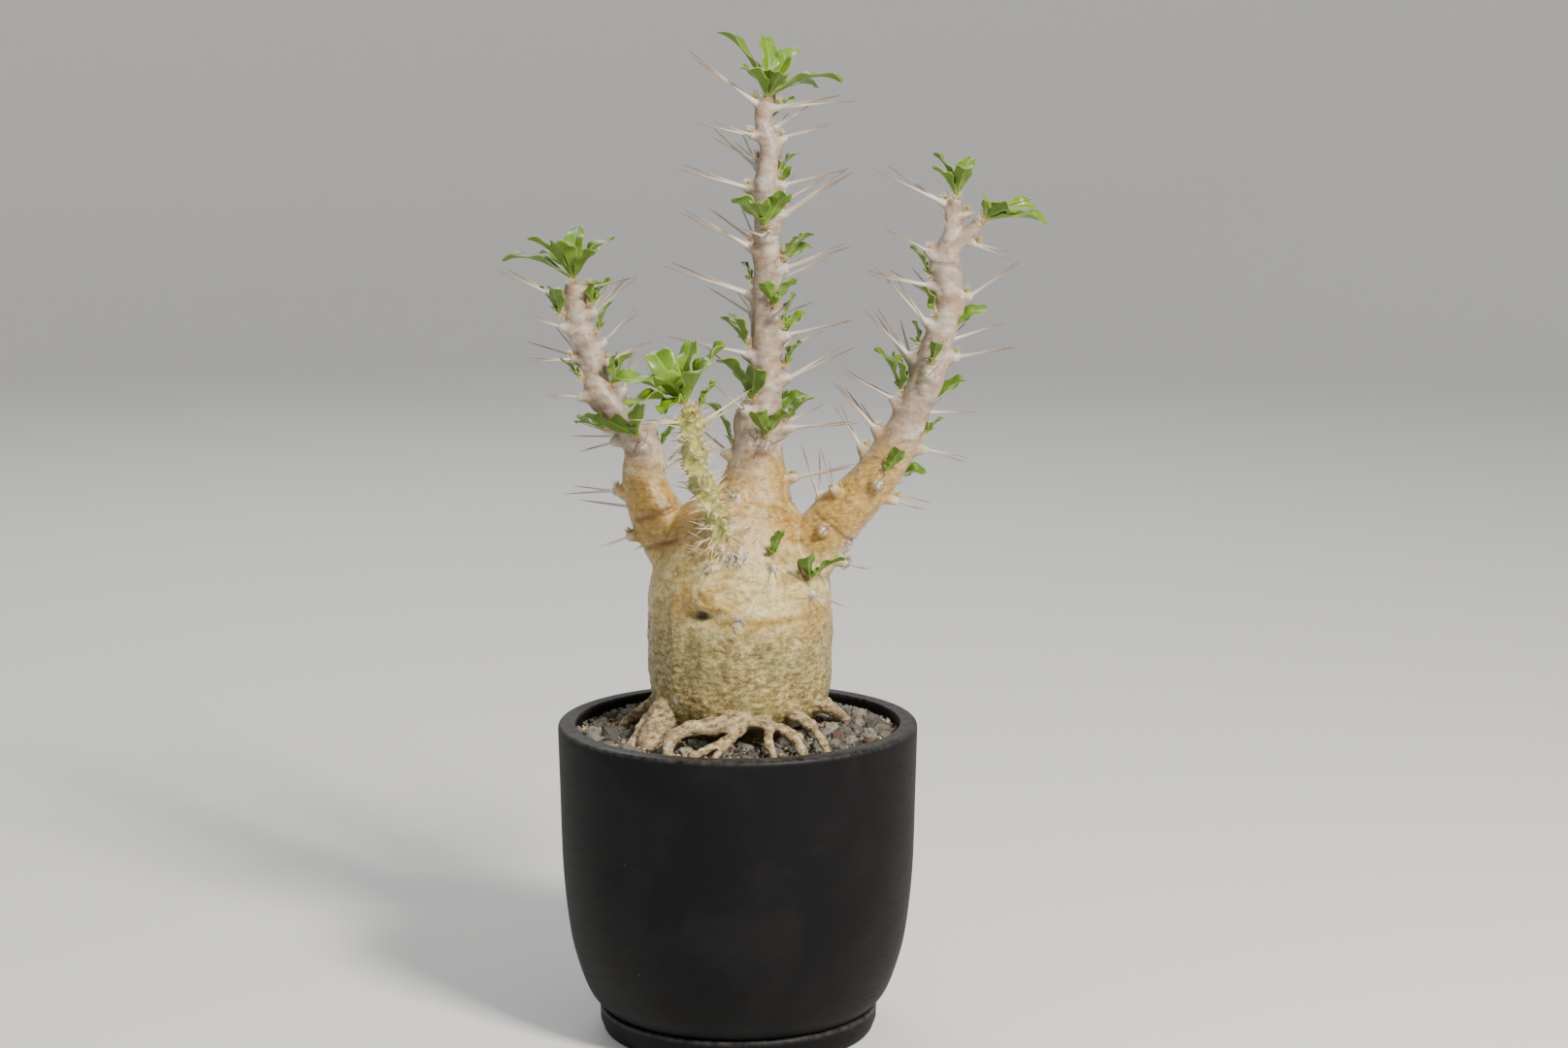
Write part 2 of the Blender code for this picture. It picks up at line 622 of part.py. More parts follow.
def turned(name, outline, collection, finish):
    """A closed body turned round the Z axis from (radius, height) points, outer side first, top to bottom."""
    shape = bmesh.new()
    corners = [shape.verts.new((r * MM, 0.0, z * MM)) for r, z in outline]
    for start, end in zip(corners, corners[1:]):
        shape.edges.new((start, end))
    if outline[0][0] > 0:
        shape.edges.new((corners[-1], corners[0]))
    mesh = bpy.data.meshes.new(name)
    shape.to_mesh(mesh)
    shape.free()
    made = new_object(name, mesh, collection, finish)
    spin = made.modifiers.new("turn", "SCREW")
    spin.steps = TURN_STEPS
    spin.render_steps = TURN_STEPS
    spin.use_merge_vertices = True
    spin.merge_threshold = 1e-5
    return made


def pot_inside():
    """(radius, height) of the pot's inner wall, from the lip down to the floor."""
    low = SAUCER_FLOOR + SEAT + POT_FLOOR
    lip = RIM_RADIUS - LIP_WIDTH
    return [(lip, RIM_HEIGHT), (lip - 0.6, 70), (62.5, 36), (54, 20), (42, low)]


def make_pot(collection):
    low = SAUCER_FLOOR + SEAT
    outside = [
        (RIM_RADIUS - 2.2, RIM_HEIGHT), (RIM_RADIUS - 0.6, RIM_HEIGHT - 0.7), (RIM_RADIUS, RIM_HEIGHT - 2.4),
        (RIM_RADIUS - 1.6, 70), (70.6, 44), (67.3, 30), (63.0, 18.6), (58.4, 13.2),
        (52.8, 9.0), (FOOT_RADIUS, low), (DRAIN_RADIUS, low), (DRAIN_RADIUS, low + POT_FLOOR),
    ]
    outline = outside + pot_inside()[::-1]
    black = material("pot_black", (0.012, 0.012, 0.013), 0.55)
    return turned("pot", outline, collection, black)


def make_saucer(collection):
    outline = [
        (0, SAUCER_FLOOR), (SAUCER_RADIUS - SAUCER_WALL - 1.4, SAUCER_FLOOR),
        (SAUCER_RADIUS - SAUCER_WALL, SAUCER_FLOOR + 1.2), (SAUCER_RADIUS - SAUCER_WALL, SAUCER_HEIGHT - 0.5),
        (SAUCER_RADIUS - 1.2, SAUCER_HEIGHT), (SAUCER_RADIUS, SAUCER_HEIGHT - 0.8),
        (SAUCER_RADIUS - 0.2, 5), (SAUCER_RADIUS - 1.2, 1.4), (SAUCER_RADIUS - 2.6, 0), (0, 0),
    ]
    black = material("saucer_black", (0.014, 0.014, 0.015), 0.5)
    return turned("saucer", outline, collection, black)


def stone(name, spot, radius, rng, collection):
    """A rough angular grain, a little flattened."""
    shape = bmesh.new()
    bmesh.ops.create_cone(shape, cap_ends=True, segments=5, radius1=radius * MM,
                          radius2=rng.uniform(0.5, 0.8) * radius * MM, depth=rng.uniform(1.0, 1.4) * radius * MM)
    squash = Matrix.Diagonal((rng.uniform(0.9, 1.15), rng.uniform(0.7, 1.0), 1.0, 1.0))
    turn = Matrix.Rotation(rng.uniform(0, math.tau), 4, "Z") @ Matrix.Rotation(rng.uniform(-0.5, 0.5), 4, "X")
    bmesh.ops.transform(shape, matrix=Matrix.Translation(spot * MM) @ turn @ squash, verts=shape.verts)
    mesh = bpy.data.meshes.new(name)
    shape.to_mesh(mesh)
    shape.free()
    return new_object(name, mesh, collection)


def stone_spots(rng):
    """Places on the soil between the roots and the pot, each with its radius, none on another."""
    lines = []
    for path in root_paths():
        points = smooth(path)
        lines += [(a, b) for a, b in zip(points, points[1:]) if a.z < SOIL_HEIGHT + 12]
    limit = RIM_RADIUS - LIP_WIDTH - SEAT - 0.6
    spots = []
    for _ in range(9000):
        radius = rng.uniform(*STONE_RADIUS)
        reach = limit - radius * 1.25 - (limit - 30) * (1 - math.sqrt(rng.random()))
        angle = rng.uniform(0, math.tau)
        spot = Vector((reach * math.cos(angle), reach * math.sin(angle), SOIL_HEIGHT + radius * 0.2))
        apart = all((spot - other).length > 0.78 * (radius + size) for other, size in spots)
        free = all(gap_to_line(spot, a.to_3d(), b.to_3d())[0] > max(a.w, b.w) + radius * 1.3 + 0.7 for a, b in lines)
        if apart and free:
            spots.append((spot, radius))
        if len(spots) == STONE_COUNT:
            break
    return spots


def join_flat_faces(mesh):
    """Takes out the edges that Booleans leave across flat ground."""
    shape = bmesh.new()
    shape.from_mesh(mesh)
    bmesh.ops.dissolve_limit(shape, angle_limit=math.radians(0.5), verts=shape.verts, edges=shape.edges)
    bmesh.ops.triangulate(shape, faces=shape.faces)
    shape.to_mesh(mesh)
    shape.free()


def make_soil(collection, helpers, cutters):
    """Soil that fills the pot, its stone dressing, and a plain hole for each root."""
    inside = pot_inside()[1:]
    outline = [(0, SOIL_HEIGHT), (RIM_RADIUS - LIP_WIDTH - SEAT, SOIL_HEIGHT)]
    outline += [(r - SEAT, z) for r, z in inside[:-1]]
    outline += [(inside[-1][0] - SEAT, inside[-1][1] + SEAT), (0, inside[-1][1] + SEAT)]
    fill = turned("fill", outline, helpers, None)
    mesh = applied(fill, "soil_fill")
    rng = random.Random(SEED + 3)
    for i, (spot, radius) in enumerate(stone_spots(rng)):
        stone(f"stone_{i}", spot, radius, rng, helpers)
    grit = material("soil_grit", (0.21, 0.18, 0.155), 0.95)
    soil = union_all("soil", mesh, helpers, collection, grit)
    for i, path in enumerate(root_paths() + [list(CROWN)]):
        wider = [(x, y, z, radius + ROOT_CLEARANCE) for x, y, z, radius in path[-3:]]
        last = wider[-1]
        if last[2] < SOIL_HEIGHT:
            wider[-1] = (last[0], last[1], last[2] - ROOT_CLEARANCE, last[3])
            tubes(f"hole_{i}", [wider], cutters, 3 if last[3] < 5 else 6)
    for cutter in cutters.objects:
        cutter.display_type = "WIRE"
    cut = soil.modifiers.new("holes", "BOOLEAN")
    cut.operation = "DIFFERENCE"
    cut.operand_type = "COLLECTION"
    cut.collection = cutters
    cut.solver = "EXACT"
    mesh = largest_piece(applied(soil, "soil"))
    for cutter in list(cutters.objects):
        bpy.data.objects.remove(cutter, do_unlink=True)
    join_flat_faces(mesh)
    return new_object("soil", mesh, collection)


def shade(collection):
    for made in collection.objects:
        made.data.shade_smooth()
        made.data.set_sharp_from_angle(angle=math.radians(40))


def main():
    clear_scene()
    parts = new_collection("potted_pachypodium")
    helpers = new_collection("helpers")
    cutters = new_collection("cutters")
    for spare in (helpers, cutters):
        spare.hide_render = True
    axes = {name: Axis(points) for name, points in AXES.items()}
    pairs = all_pairs()
    rng = random.Random(SEED + 4)
    spines = [spine for pair in pairs for spine in spine_pair(axes, pair, rng)]
    make_saucer(parts)
    make_pot(parts)
    make_soil(parts, helpers, cutters)
    wood = make_wood(axes, pairs, spines, parts, helpers)
    make_leaves(axes, pairs, spines, wood, parts, helpers)
    shade(parts)


main()
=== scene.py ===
# %% Load the solids
import json
import math
import random

import bmesh
import bpy
import numpy as np
from mathutils import Matrix, Vector, noise
from mathutils.bvhtree import BVHTree

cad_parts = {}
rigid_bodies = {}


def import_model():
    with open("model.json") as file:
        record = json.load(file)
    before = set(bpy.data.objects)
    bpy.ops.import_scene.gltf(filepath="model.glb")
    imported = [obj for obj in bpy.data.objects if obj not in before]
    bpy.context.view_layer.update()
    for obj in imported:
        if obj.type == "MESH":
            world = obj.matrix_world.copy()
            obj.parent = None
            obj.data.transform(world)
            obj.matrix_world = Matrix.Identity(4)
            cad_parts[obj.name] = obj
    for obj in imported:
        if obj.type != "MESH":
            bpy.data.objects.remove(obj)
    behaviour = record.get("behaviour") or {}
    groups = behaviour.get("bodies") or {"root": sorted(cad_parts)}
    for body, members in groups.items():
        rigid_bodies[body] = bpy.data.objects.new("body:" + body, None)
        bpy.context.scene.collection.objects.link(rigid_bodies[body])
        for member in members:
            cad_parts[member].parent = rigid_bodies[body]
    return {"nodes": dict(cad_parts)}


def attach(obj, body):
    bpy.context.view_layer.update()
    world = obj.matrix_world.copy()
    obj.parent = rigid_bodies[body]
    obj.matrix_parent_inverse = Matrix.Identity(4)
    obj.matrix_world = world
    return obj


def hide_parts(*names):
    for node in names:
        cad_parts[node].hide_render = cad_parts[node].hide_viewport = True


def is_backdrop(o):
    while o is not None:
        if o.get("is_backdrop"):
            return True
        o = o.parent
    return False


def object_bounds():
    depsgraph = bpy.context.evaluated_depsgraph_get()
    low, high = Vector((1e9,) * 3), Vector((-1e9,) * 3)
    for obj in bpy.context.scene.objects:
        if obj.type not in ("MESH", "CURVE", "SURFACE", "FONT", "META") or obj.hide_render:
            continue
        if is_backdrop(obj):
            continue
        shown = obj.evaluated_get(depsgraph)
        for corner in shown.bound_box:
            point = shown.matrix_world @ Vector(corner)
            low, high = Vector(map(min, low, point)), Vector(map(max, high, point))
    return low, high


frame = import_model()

CAD_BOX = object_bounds()
print("solids:", len(frame["nodes"]), "box from", [round(v, 4) for v in CAD_BOX[0]],
      "to", [round(v, 4) for v in CAD_BOX[1]])

# %% [markdown]
# # A pachypodium in its pot
#
# The solids that were just loaded have every piece in its place, but they are plain. In this lesson each of them gets
# a finer shape and a finish. The plan is simple. We write down the same sizes that the solids were made from, we grow
# the same plant again with more and smaller faces, and each new piece then stands in for its solid.
#
# All sizes in the tables are millimetres. Blender works in metres, so MM turns one into the other.

# %% Sizes that the whole plant shares
MM = 0.001
SEED = 7
SEAT = 0.3

RIM_RADIUS = 75.0
RIM_HEIGHT = 131.6
LIP_WIDTH = 7.3
FOOT_RADIUS = 45.0
DRAIN_RADIUS = 5.0
POT_FLOOR = 5.5
SAUCER_RADIUS = 58.5
SAUCER_HEIGHT = 11.0
SAUCER_FLOOR = 4.0
SAUCER_WALL = 2.3

SOIL_HEIGHT = 126.0
STONE_COUNT = 100
STONE_RADIUS = (3.2, 5.2)

SPINE_SINK = 3.2
SPINE_SPLAY = 17.0
SPINE_ROOM = 1.9
BUD_RADIUS = 1.7
LONE_LIFT = 0.35
STEM_ROOM = 1.3
BASE_ROOM = 0.5
CURL = 2.1
print("pot", 2 * RIM_RADIUS, "mm across,", RIM_HEIGHT, "mm high")

# %% [markdown]
# ## The camera and the room
#
# The photograph was taken with a long lens from a little above the pot. The camera's place comes from the pot's rim,
# which the photograph shows as an ellipse: the flatter the ellipse, the lower the camera.
#
# The room is one round sheet, flat where the saucer stands and rising at its rim, as a paper sweep does in a studio.
# A turned profile makes it in one go, and it looks alike from every side.


# %% Camera
def place_camera():
    lens = bpy.data.cameras.new("camera")
    lens.lens = 70.0
    lens.sensor_width = 36.0
    lens.clip_start = 0.05
    camera = bpy.data.objects.new("camera", lens)
    camera.location = (0.0193, -1.245, 0.414)
    camera.rotation_euler = (math.radians(80.9), 0.0, 0.0)
    bpy.context.scene.collection.objects.link(camera)
    bpy.context.scene.camera = camera
    return camera


print("camera at", tuple(round(v, 3) for v in place_camera().location))


# %% A helper that turns a profile round the Z axis
def lathe(name, profile, steps, closed=True):
    """A body from (radius, height) points in millimetres, in order so that its faces look outwards."""
    shape = bmesh.new()
    rings = []
    for radius, height in profile:
        count = steps if radius > 0 else 1
        rings.append([
            shape.verts.new((radius * MM * math.cos(math.tau * i / steps),
                             radius * MM * math.sin(math.tau * i / steps), height * MM))
            for i in range(count)
        ])
    pairs = list(zip(rings, rings[1:]))
    if closed and len(rings[0]) > 1 and len(rings[-1]) > 1:
        pairs.append((rings[-1], rings[0]))
    for low, high in pairs:
        for i in range(steps):
            after = (i + 1) % steps
            corners = [low[i % len(low)], low[after % len(low)], high[after % len(high)], high[i % len(high)]]
            shape.faces.new(list(dict.fromkeys(corners)))
    bmesh.ops.recalc_face_normals(shape, faces=shape.faces)
    mesh = bpy.data.meshes.new(name)
    shape.to_mesh(mesh)
    shape.free()
    made = bpy.data.objects.new(name, mesh)
    bpy.context.scene.collection.objects.link(made)
    mesh.shade_smooth()
    return made


# %% [markdown]
# ## Node trees, written as sums
#
# A material is a small sum over the surface: some noise, times a mask, plus a colour. Wiring it up node by node hides
# that. The two classes below let us write it as a sum. `Tree.node` makes any node, and a `Value` is one of its
# outputs, which knows what + and * mean.


# %% The two classes
class Value:
    """One output of a node tree, for use in sums."""

    def __init__(self, tree, socket):
        self.tree = tree
        self.socket = socket

    def maths(self, operation, first, second=0.0):
        return self.tree.node("ShaderNodeMath", {"operation": operation}, {0: first, 1: second})

    def __add__(self, other):
        return self.maths("ADD", self, other)

    def __sub__(self, other):
        return self.maths("SUBTRACT", self, other)

    def __rsub__(self, other):
        return self.maths("SUBTRACT", other, self)

    def __mul__(self, other):
        return self.maths("MULTIPLY", self, other)

    def __pow__(self, other):
        return self.maths("POWER", self, other)

    def other(self, output):
        """Another output of the same node."""
        return Value(self.tree, self.socket.node.outputs[output])

    __radd__ = __add__
    __rmul__ = __mul__


class Tree:
    """A node tree that is written line by line."""

    def __init__(self, tree):
        self.tree = tree

    def node(self, kind, settings=None, inputs=None, output=0):
        made = self.tree.nodes.new(kind)
        for name, value in (settings or {}).items():
            if name == "stops":
                self.set_stops(made.color_ramp, value)
            else:
                setattr(made, name, value)
        for name, value in (inputs or {}).items():
            self.feed(made.inputs[name], value)
        return Value(self, made.outputs[output])

    def feed(self, socket, value):
        if isinstance(value, Value):
            self.tree.links.new(value.socket, socket)
        else:
            socket.default_value = value

    def set_stops(self, ramp, stops):
        while len(ramp.elements) < len(stops):
            ramp.elements.new(0.5)
        for element, (place, colour) in zip(ramp.elements, stops):
            element.position = place
            element.color = (*colour, 1.0)


class Paint(Tree):
    """A material with one Principled shader, whose plain numbers are set by name."""

    def __init__(self, name, **plain):
        self.material = bpy.data.materials.new(name)
        self.material.use_nodes = True
        super().__init__(self.material.node_tree)
        self.shader = self.tree.nodes["Principled BSDF"]
        for socket, value in plain.items():
            self.shader.inputs[socket.replace("_", " ")].default_value = value

    def spot(self):
        return self.node("ShaderNodeTexCoord", output="Object")

    def height(self):
        return self.node("ShaderNodeSeparateXYZ", inputs={0: self.spot()}, output="Z")

    def stretched(self, x, y, z):
        return self.node("ShaderNodeMapping", inputs={"Vector": self.spot(), "Scale": (x, y, z)})

    def noise(self, scale, detail=3.0, rough=0.55, spot=None, warp=0.0):
        return self.node("ShaderNodeTexNoise", inputs={
            "Vector": spot or self.spot(), "Scale": scale, "Detail": detail, "Roughness": rough, "Distortion": warp})

    def cells(self, scale, feature="F1", spot=None, randomness=1.0):
        return self.node("ShaderNodeTexVoronoi", {"feature": feature},
                         {"Vector": spot or self.spot(), "Scale": scale, "Randomness": randomness})

    def mark(self, name):
        return self.node("ShaderNodeAttribute", {"attribute_name": name}, output="Fac")

    def rise(self, value, low, high):
        """0 below low, 1 above high and a soft step between them; low may be the larger."""
        return self.node("ShaderNodeMapRange", {"interpolation_type": "SMOOTHSTEP"},
                         {"Value": value, "From Min": low, "From Max": high})

    def ramp(self, value, *stops):
        return self.node("ShaderNodeValToRGB", {"stops": stops}, {0: value})

    def mix(self, under, over, share):
        """A colour that goes from under to over as share goes from 0 to 1."""
        colours = [value if isinstance(value, Value) else (*value, 1.0) for value in (under, over)]
        return self.node("ShaderNodeMix", {"data_type": "RGBA"}, {0: share, 6: colours[0], 7: colours[1]}, 2)

    def bump(self, height, depth, under=None):
        """The surface's direction with height laid on it, depth millimetres from 0 to 1."""
        inputs = {"Height": height, "Distance": depth * MM, "Strength": 1.0}
        if under:
            inputs["Normal"] = under
        return self.node("ShaderNodeBump", inputs=inputs)

    def coat(self, **sockets):
        for name, value in sockets.items():
            self.feed(self.shader.inputs[name.replace("_", " ")], value)
        return self.material


print("helpers ready")


# %% Floor, sweep and lights
def make_room():
    profile = [(0, -0.2), (2600, -0.2)]
    profile += [(2600 + 900 * math.sin(math.radians(a)), 900 - 900 * math.cos(math.radians(a)) - 0.2)
                for a in range(6, 91, 6)]
    profile.append((3500, 2600))
    sweep = lathe("sweep", profile, 96, closed=False)
    # The paper also glows faintly through its emission, a painted glow that keeps the backdrop pale.
    paper = Paint("sweep_paper", Roughness=0.9, Specular_IOR_Level=0.2, Emission_Strength=0.09)
    paper.shader.inputs["Emission Color"].default_value = (0.9, 0.9, 0.88, 1.0)
    sweep.data.materials.append(paper.coat(Base_Color=(0.72, 0.715, 0.70, 1.0)))
    sweep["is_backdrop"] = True
    return sweep


def soft_light(name, turn, height, reach, size, watts, colour):
    """A square light that faces the plant; turn counts from the camera's side towards its right."""
    aim = Vector((0.0, 0.0, 0.24))
    angle = math.radians(turn)
    rise = math.radians(height)
    away = Vector((math.sin(angle) * math.cos(rise), -math.cos(angle) * math.cos(rise), math.sin(rise)))
    light = bpy.data.lights.new(name, "AREA")
    light.energy = watts
    light.size = size
    light.color = colour
    made = bpy.data.objects.new(name, light)
    made.location = aim + away * reach
    made.rotation_euler = away.to_track_quat("Z", "Y").to_euler()
    bpy.context.scene.collection.objects.link(made)
    return made


def make_lights():
    soft_light("key_light", 38, 36, 1.6, 0.3, 50.0, (1.0, 0.955, 0.89))
    soft_light("fill_light", -62, 22, 2.1, 1.5, 3.5, (0.93, 0.96, 1.0))
    soft_light("back_light", 196, 44, 2.0, 1.0, 14.0, (1.0, 1.0, 1.0))
    soft_light("top_light", 0, 88, 1.9, 1.4, 6.0, (1.0, 1.0, 1.0))
    world = bpy.data.worlds.new("room")
    world.use_nodes = True
    world.node_tree.nodes["Background"].inputs["Color"].default_value = (0.9, 0.93, 1.0, 1.0)
    world.node_tree.nodes["Background"].inputs["Strength"].default_value = 0.2
    bpy.context.scene.world = world


make_room()
make_lights()
print("room and four lights")

# %% [markdown]
# ## The plan of the plant
#
# A pachypodium keeps its water in a swollen base, the caudex. Thick stems grow from the base, and each stem is
# set with knobs in a spiral. Every knob carries a pair of spines, and leaves come from the angle above it.
#
# So the plant is four short tables: the line that each stem follows, with its radius; the roots; the pairs of spines
# along each stem; and the leaves in the tuft that ends it. They are the tables that the solids were grown from, so
# the fine plant lands on the plain one.

# %% Stems
# x, y, z and radius along each axis, from the ground up
AXES = {
    "caudex": ((1, 0, 131, 24), (1, 0, 135, 33), (1, 0, 143, 37), (1, 0, 160, 38.3), (1, 0, 180, 38.3),
               (1, 0, 194, 36.8), (1, 0, 205, 33), (3, 0, 216, 27), (5, 0, 226, 20)),
    "centre": ((4, 0, 206, 24), (7.3, 0, 231, 14.5), (8.5, 0, 248, 10), (9, 0, 258, 10.4), (12, 0, 271, 6.4),
               (11.8, 0, 295, 6.2), (12.2, 0, 311, 5.7), (12.6, 0, 331, 5.4), (11.8, 0, 352, 5.2),
               (12.6, 0, 360, 4.2), (13.4, 1, 370, 4), (10.6, 2, 379, 3.2), (12.2, 2, 388, 2.8)),
    "left": ((-18, 4, 196, 15), (-31.5, 5, 214, 12), (-38.7, 7, 231, 9.3), (-38.7, 9, 242, 8.8),
             (-44, 11, 252, 6.4), (-57.2, 13, 268, 5.9), (-59.6, 14, 278, 4.5), (-63.9, 15, 291, 5.1),
             (-66.7, 16, 301, 5.2), (-67.6, 16, 313, 3.8)),
    "right": ((17, -3, 193, 17), (32, -4, 207, 13), (42, -5, 219, 11), (56, -6, 234, 9.5), (67, -6, 251, 8.2),
              (73.6, -7, 266, 6.7), (77.5, -8, 276, 7.3), (81.3, -8, 289, 6.4), (86.3, -9, 306, 4.9),
              (85.8, -9, 318, 5.9), (84.9, -10, 326, 5.4), (87.5, -10, 335, 4), (87.5, -10, 342, 3.2),
              (88.6, -10, 349, 2.6)),
    "side": ((86, -10, 329, 3.8), (92, -12, 334, 3), (98.6, -14, 340, 2.6)),
    "young": ((-2, -22, 205, 6), (-7, -28, 213, 4.5), (-6.5, -31, 221, 4), (-10.4, -33, 228, 4),
              (-13.4, -34, 236, 4), (-16.1, -35, 245, 4), (-18, -36, 253, 3.8), (-17.5, -37, 262, 3.6),
              (-19.4, -38, 268, 3.2)),
}

KNOB = ((-5, -24, 190, 10), (-9, -31.0, 189, 7.0), (-12.0, -34.6, 187.4, 4.2))
ROOT_SLIM = 0.74
CROWN = ((1, 0, 142, 28), (1, 0, 128, 21), (1, 0, 112, 13))
print("stems:", ", ".join(AXES))

# %% Roots
FRONT_ROOTS = (
    ((9, -28, 140, 5.4), (-2, -38, 139, 5), (-12, -43, 138.5, 4.6), (-22, -44, 137, 4.2), (-27, -46, 133, 3.6),
     (-27.5, -50, 126, 3), (-28, -52, 117, 2.4)),
    ((2, -34, 138, 3.4), (-1, -43, 135, 2.7), (-10, -49, 131.5, 2.4), (-18, -54, 128, 2.1), (-22, -57, 118, 1.8)),
    ((-1, -42, 135, 2.1), (-5, -49, 131, 1.8), (-9, -54, 126.5, 1.7), (-10, -57, 118, 1.6)),
    ((6, -32, 138, 3.6), (15, -37, 137.5, 3.2), (22, -40, 135, 3), (25, -45, 131, 2.7), (28, -49, 126, 2.4),
     (30, -51, 117, 2)),
    ((22, -28, 141, 3.6), (30, -37, 138, 2.8), (35, -43, 132, 2.5), (37, -46, 126, 2.2), (38, -48, 117, 1.8)),
    ((14, -34, 137, 2.6), (13, -45, 133, 2.2), (15, -50, 127, 2), (15, -53, 118, 1.7)),
    ((-24, -14, 142, 10), (-33, -22, 134, 7.6), (-36, -28, 127, 6.2), (-37, -31, 116, 5)),
    ((32, -16, 142, 4), (38, -20, 141, 3.2), (41, -22, 140, 2.4)),
)
BACK_ROOT_TURNS = (15, 52, 88, 125, 160, 200)
print("roots:", len(FRONT_ROOTS) + len(BACK_ROOT_TURNS))

# %% Pairs of spines
# Height and turn of each pair, the spines' length, and the number and length of the leaves over them.
# A turn of 0 points to +X, 90 to the back and -90 to the front.
PAIRS = {
    "centre": ((387, 188, 34, 0, 0), (387, -4, 30, 0, 0), (376, 204, 21, 0, 0), (372, 8, 21, 0, 0),
               (364, 140, 22, 0, 0), (355, 14, 25, 1, 14), (353, 178, 28, 0, 0), (343, -14, 32, 0, 0),
               (334, -97, 22, 3, 19), (330, 186, 33, 0, 0), (321, -6, 28, 2, 14), (310, 168, 34, 1, 11),
               (302, -62, 25, 2, 14), (293, 2, 28, 1, 15), (286, 194, 33, 2, 17), (276, 5, 28, 2, 12),
               (262, -126, 17, 2, 22), (257, -4, 27, 2, 16), (249, -74, 19, 2, 17), (244, 182, 18, 1, 19),
               (236, -12, 26, 0, 0), (228, -112, 13, 0, 0)),
    "left": ((311, -8, 19, 0, 0), (308, 182, 27, 0, 0), (300, -16, 21, 2, 15), (297, 206, 14, 2, 15),
             (287, 2, 18, 1, 13), (284, 184, 18, 0, 0), (279, 24, 21, 0, 0), (270, 190, 15, 1, 13),
             (264, -14, 18, 2, 17), (253, 196, 14, 2, 15), (250, 12, 11, 1, 11), (245, -86, 12, 2, 17),
             (231, 178, 20, 0, 0), (216, 202, 13, 0, 0)),
    "right": ((347, 172, 29, 0, 0), (344, -10, 28, 0, 0), (327, 190, 20, 0, 0), (315, 182, 26, 1, 13),
              (310, -6, 24, 0, 0), (298, 200, 28, 1, 12), (288, -14, 24, 0, 0), (283, 168, 25, 1, 11),
              (279, -94, 13, 1, 14), (264, 174, 23, 3, 19), (252, -10, 17, 1, 11), (250, 176, 26, 0, 0),
              (241, 172, 20, 0, 0), (235, -84, 11, 1, 14), (234, -16, 13, 0, 0), (225, 214, 18, 0, 0),
              (214, -104, 12, 0, 0), (210, -28, 11, 0, 0)),
    "side": ((335, -4, 17, 0, 0), (332, 160, 9, 0, 0)),
    "caudex": ((205, 178, 11, 0, 0), (203, -66, 10, 1, 13), (190, -40, 16, 2, 18), (202, -108, 9, 0, 0),
               (204, 60, 14, 1, 14), (198, 128, 12, 0, 0)),
}

# The back of each stem, where pairs follow one another up the stem: lowest, step and number
BACK_PAIRS = {"centre": (241, 15, 10), "left": (224, 15, 6), "right": (218, 15, 7)}
BACK_SWING = 38
BACK_SPINE = 26
BACK_LEAF = 15
YOUNG_PAIRS = 17
YOUNG_SPINE = (6, 11)
GOLDEN_TURN = 137.5

# %% Leaves that end the stems
# Turn, tilt from the stem, length and width
CROWNS = {
    "centre": ((168, 36, 34, 7.5), (118, 20, 27, 7), (58, 18, 25, 7), (-6, 44, 32, 7.5), (-74, 36, 18, 7),
               (-128, 52, 21, 8), (30, 50, 24, 7)),
    "left": ((176, 54, 31, 7), (204, 32, 26, 7), (-112, 26, 22, 8), (84, 22, 26, 7), (16, 34, 24, 8),
             (-42, 40, 20, 7), (132, 46, 24, 7)),
    "right": ((176, 24, 19, 6), (-84, 30, 16, 6), (70, 22, 19, 6), (-150, 42, 16, 6)),
    "side": ((150, 18, 26, 7), (-12, 56, 26, 8), (60, 40, 22, 7), (-82, 44, 16, 6)),
    "young": ((168, 38, 31, 9.5), (-150, 50, 25, 9), (-96, 32, 23, 10), (-40, 44, 26, 10), (8, 46, 28, 9.5),
              (60, 34, 27, 9), (112, 26, 28, 9), (-112, 62, 18, 8)),
}
print("leaves that end the stems:", sum(len(rows) for rows in CROWNS.values()))


# %% [markdown]
# A few points are enough for a stem if a smooth curve is drawn through them. The one used here passes through every
# point and needs only its neighbours, so a change to one point stays local.


# %% Smooth lines, and a stem read by height
def spline_between(before, start, end, after, share):
    """One point of the smooth curve that runs through start and end."""
    return 0.5 * (2 * start + (end - before) * share + (2 * before - 5 * start + 4 * end - after) * share ** 2
                  + (3 * start - before - 3 * end + after) * share ** 3)


def smooth(points, cuts=4):
    """The (x, y, z, radius) points with smooth points between them."""
    ends = [Vector(p) for p in (points[0], *points, points[-1])]
    made = []
    for before, start, end, after in zip(ends, ends[1:], ends[2:], ends[3:]):
        made += [spline_between(before, start, end, after, i / cuts) for i in range(cuts)]
    return made + [ends[-1]]


class Axis:
    """A stem's centre line, read by height."""

    def __init__(self, points):
        self.points = smooth(points)

    def at(self, height):
        """Centre, radius, direction and the directions of turn 0 and turn 90 there."""
        above = next((i for i, p in enumerate(self.points) if p.z >= height), len(self.points) - 1)
        above = max(above, 1)
        low, high = self.points[above - 1], self.points[above]
        share = min(max((height - low.z) / max(high.z - low.z, 1e-6), 0.0), 1.0)
        spot = low.lerp(high, share)
        low, high = self.points[max(above - 2, 0)], self.points[min(above + 1, len(self.points) - 1)]
        up = (high - low).to_3d().normalized()
        right = (Vector((1, 0, 0)) - up * up.x).normalized()
        return spot.to_3d(), spot.w, up, right, up.cross(right)

    def outward(self, height, turn):
        """Centre, radius, direction and the outward direction at this turn."""
        centre, radius, up, right, back = self.at(height)
        angle = math.radians(turn)
        return centre, radius, up, right * math.cos(angle) + back * math.sin(angle)


AXIS = {name: Axis(points) for name, points in AXES.items()}


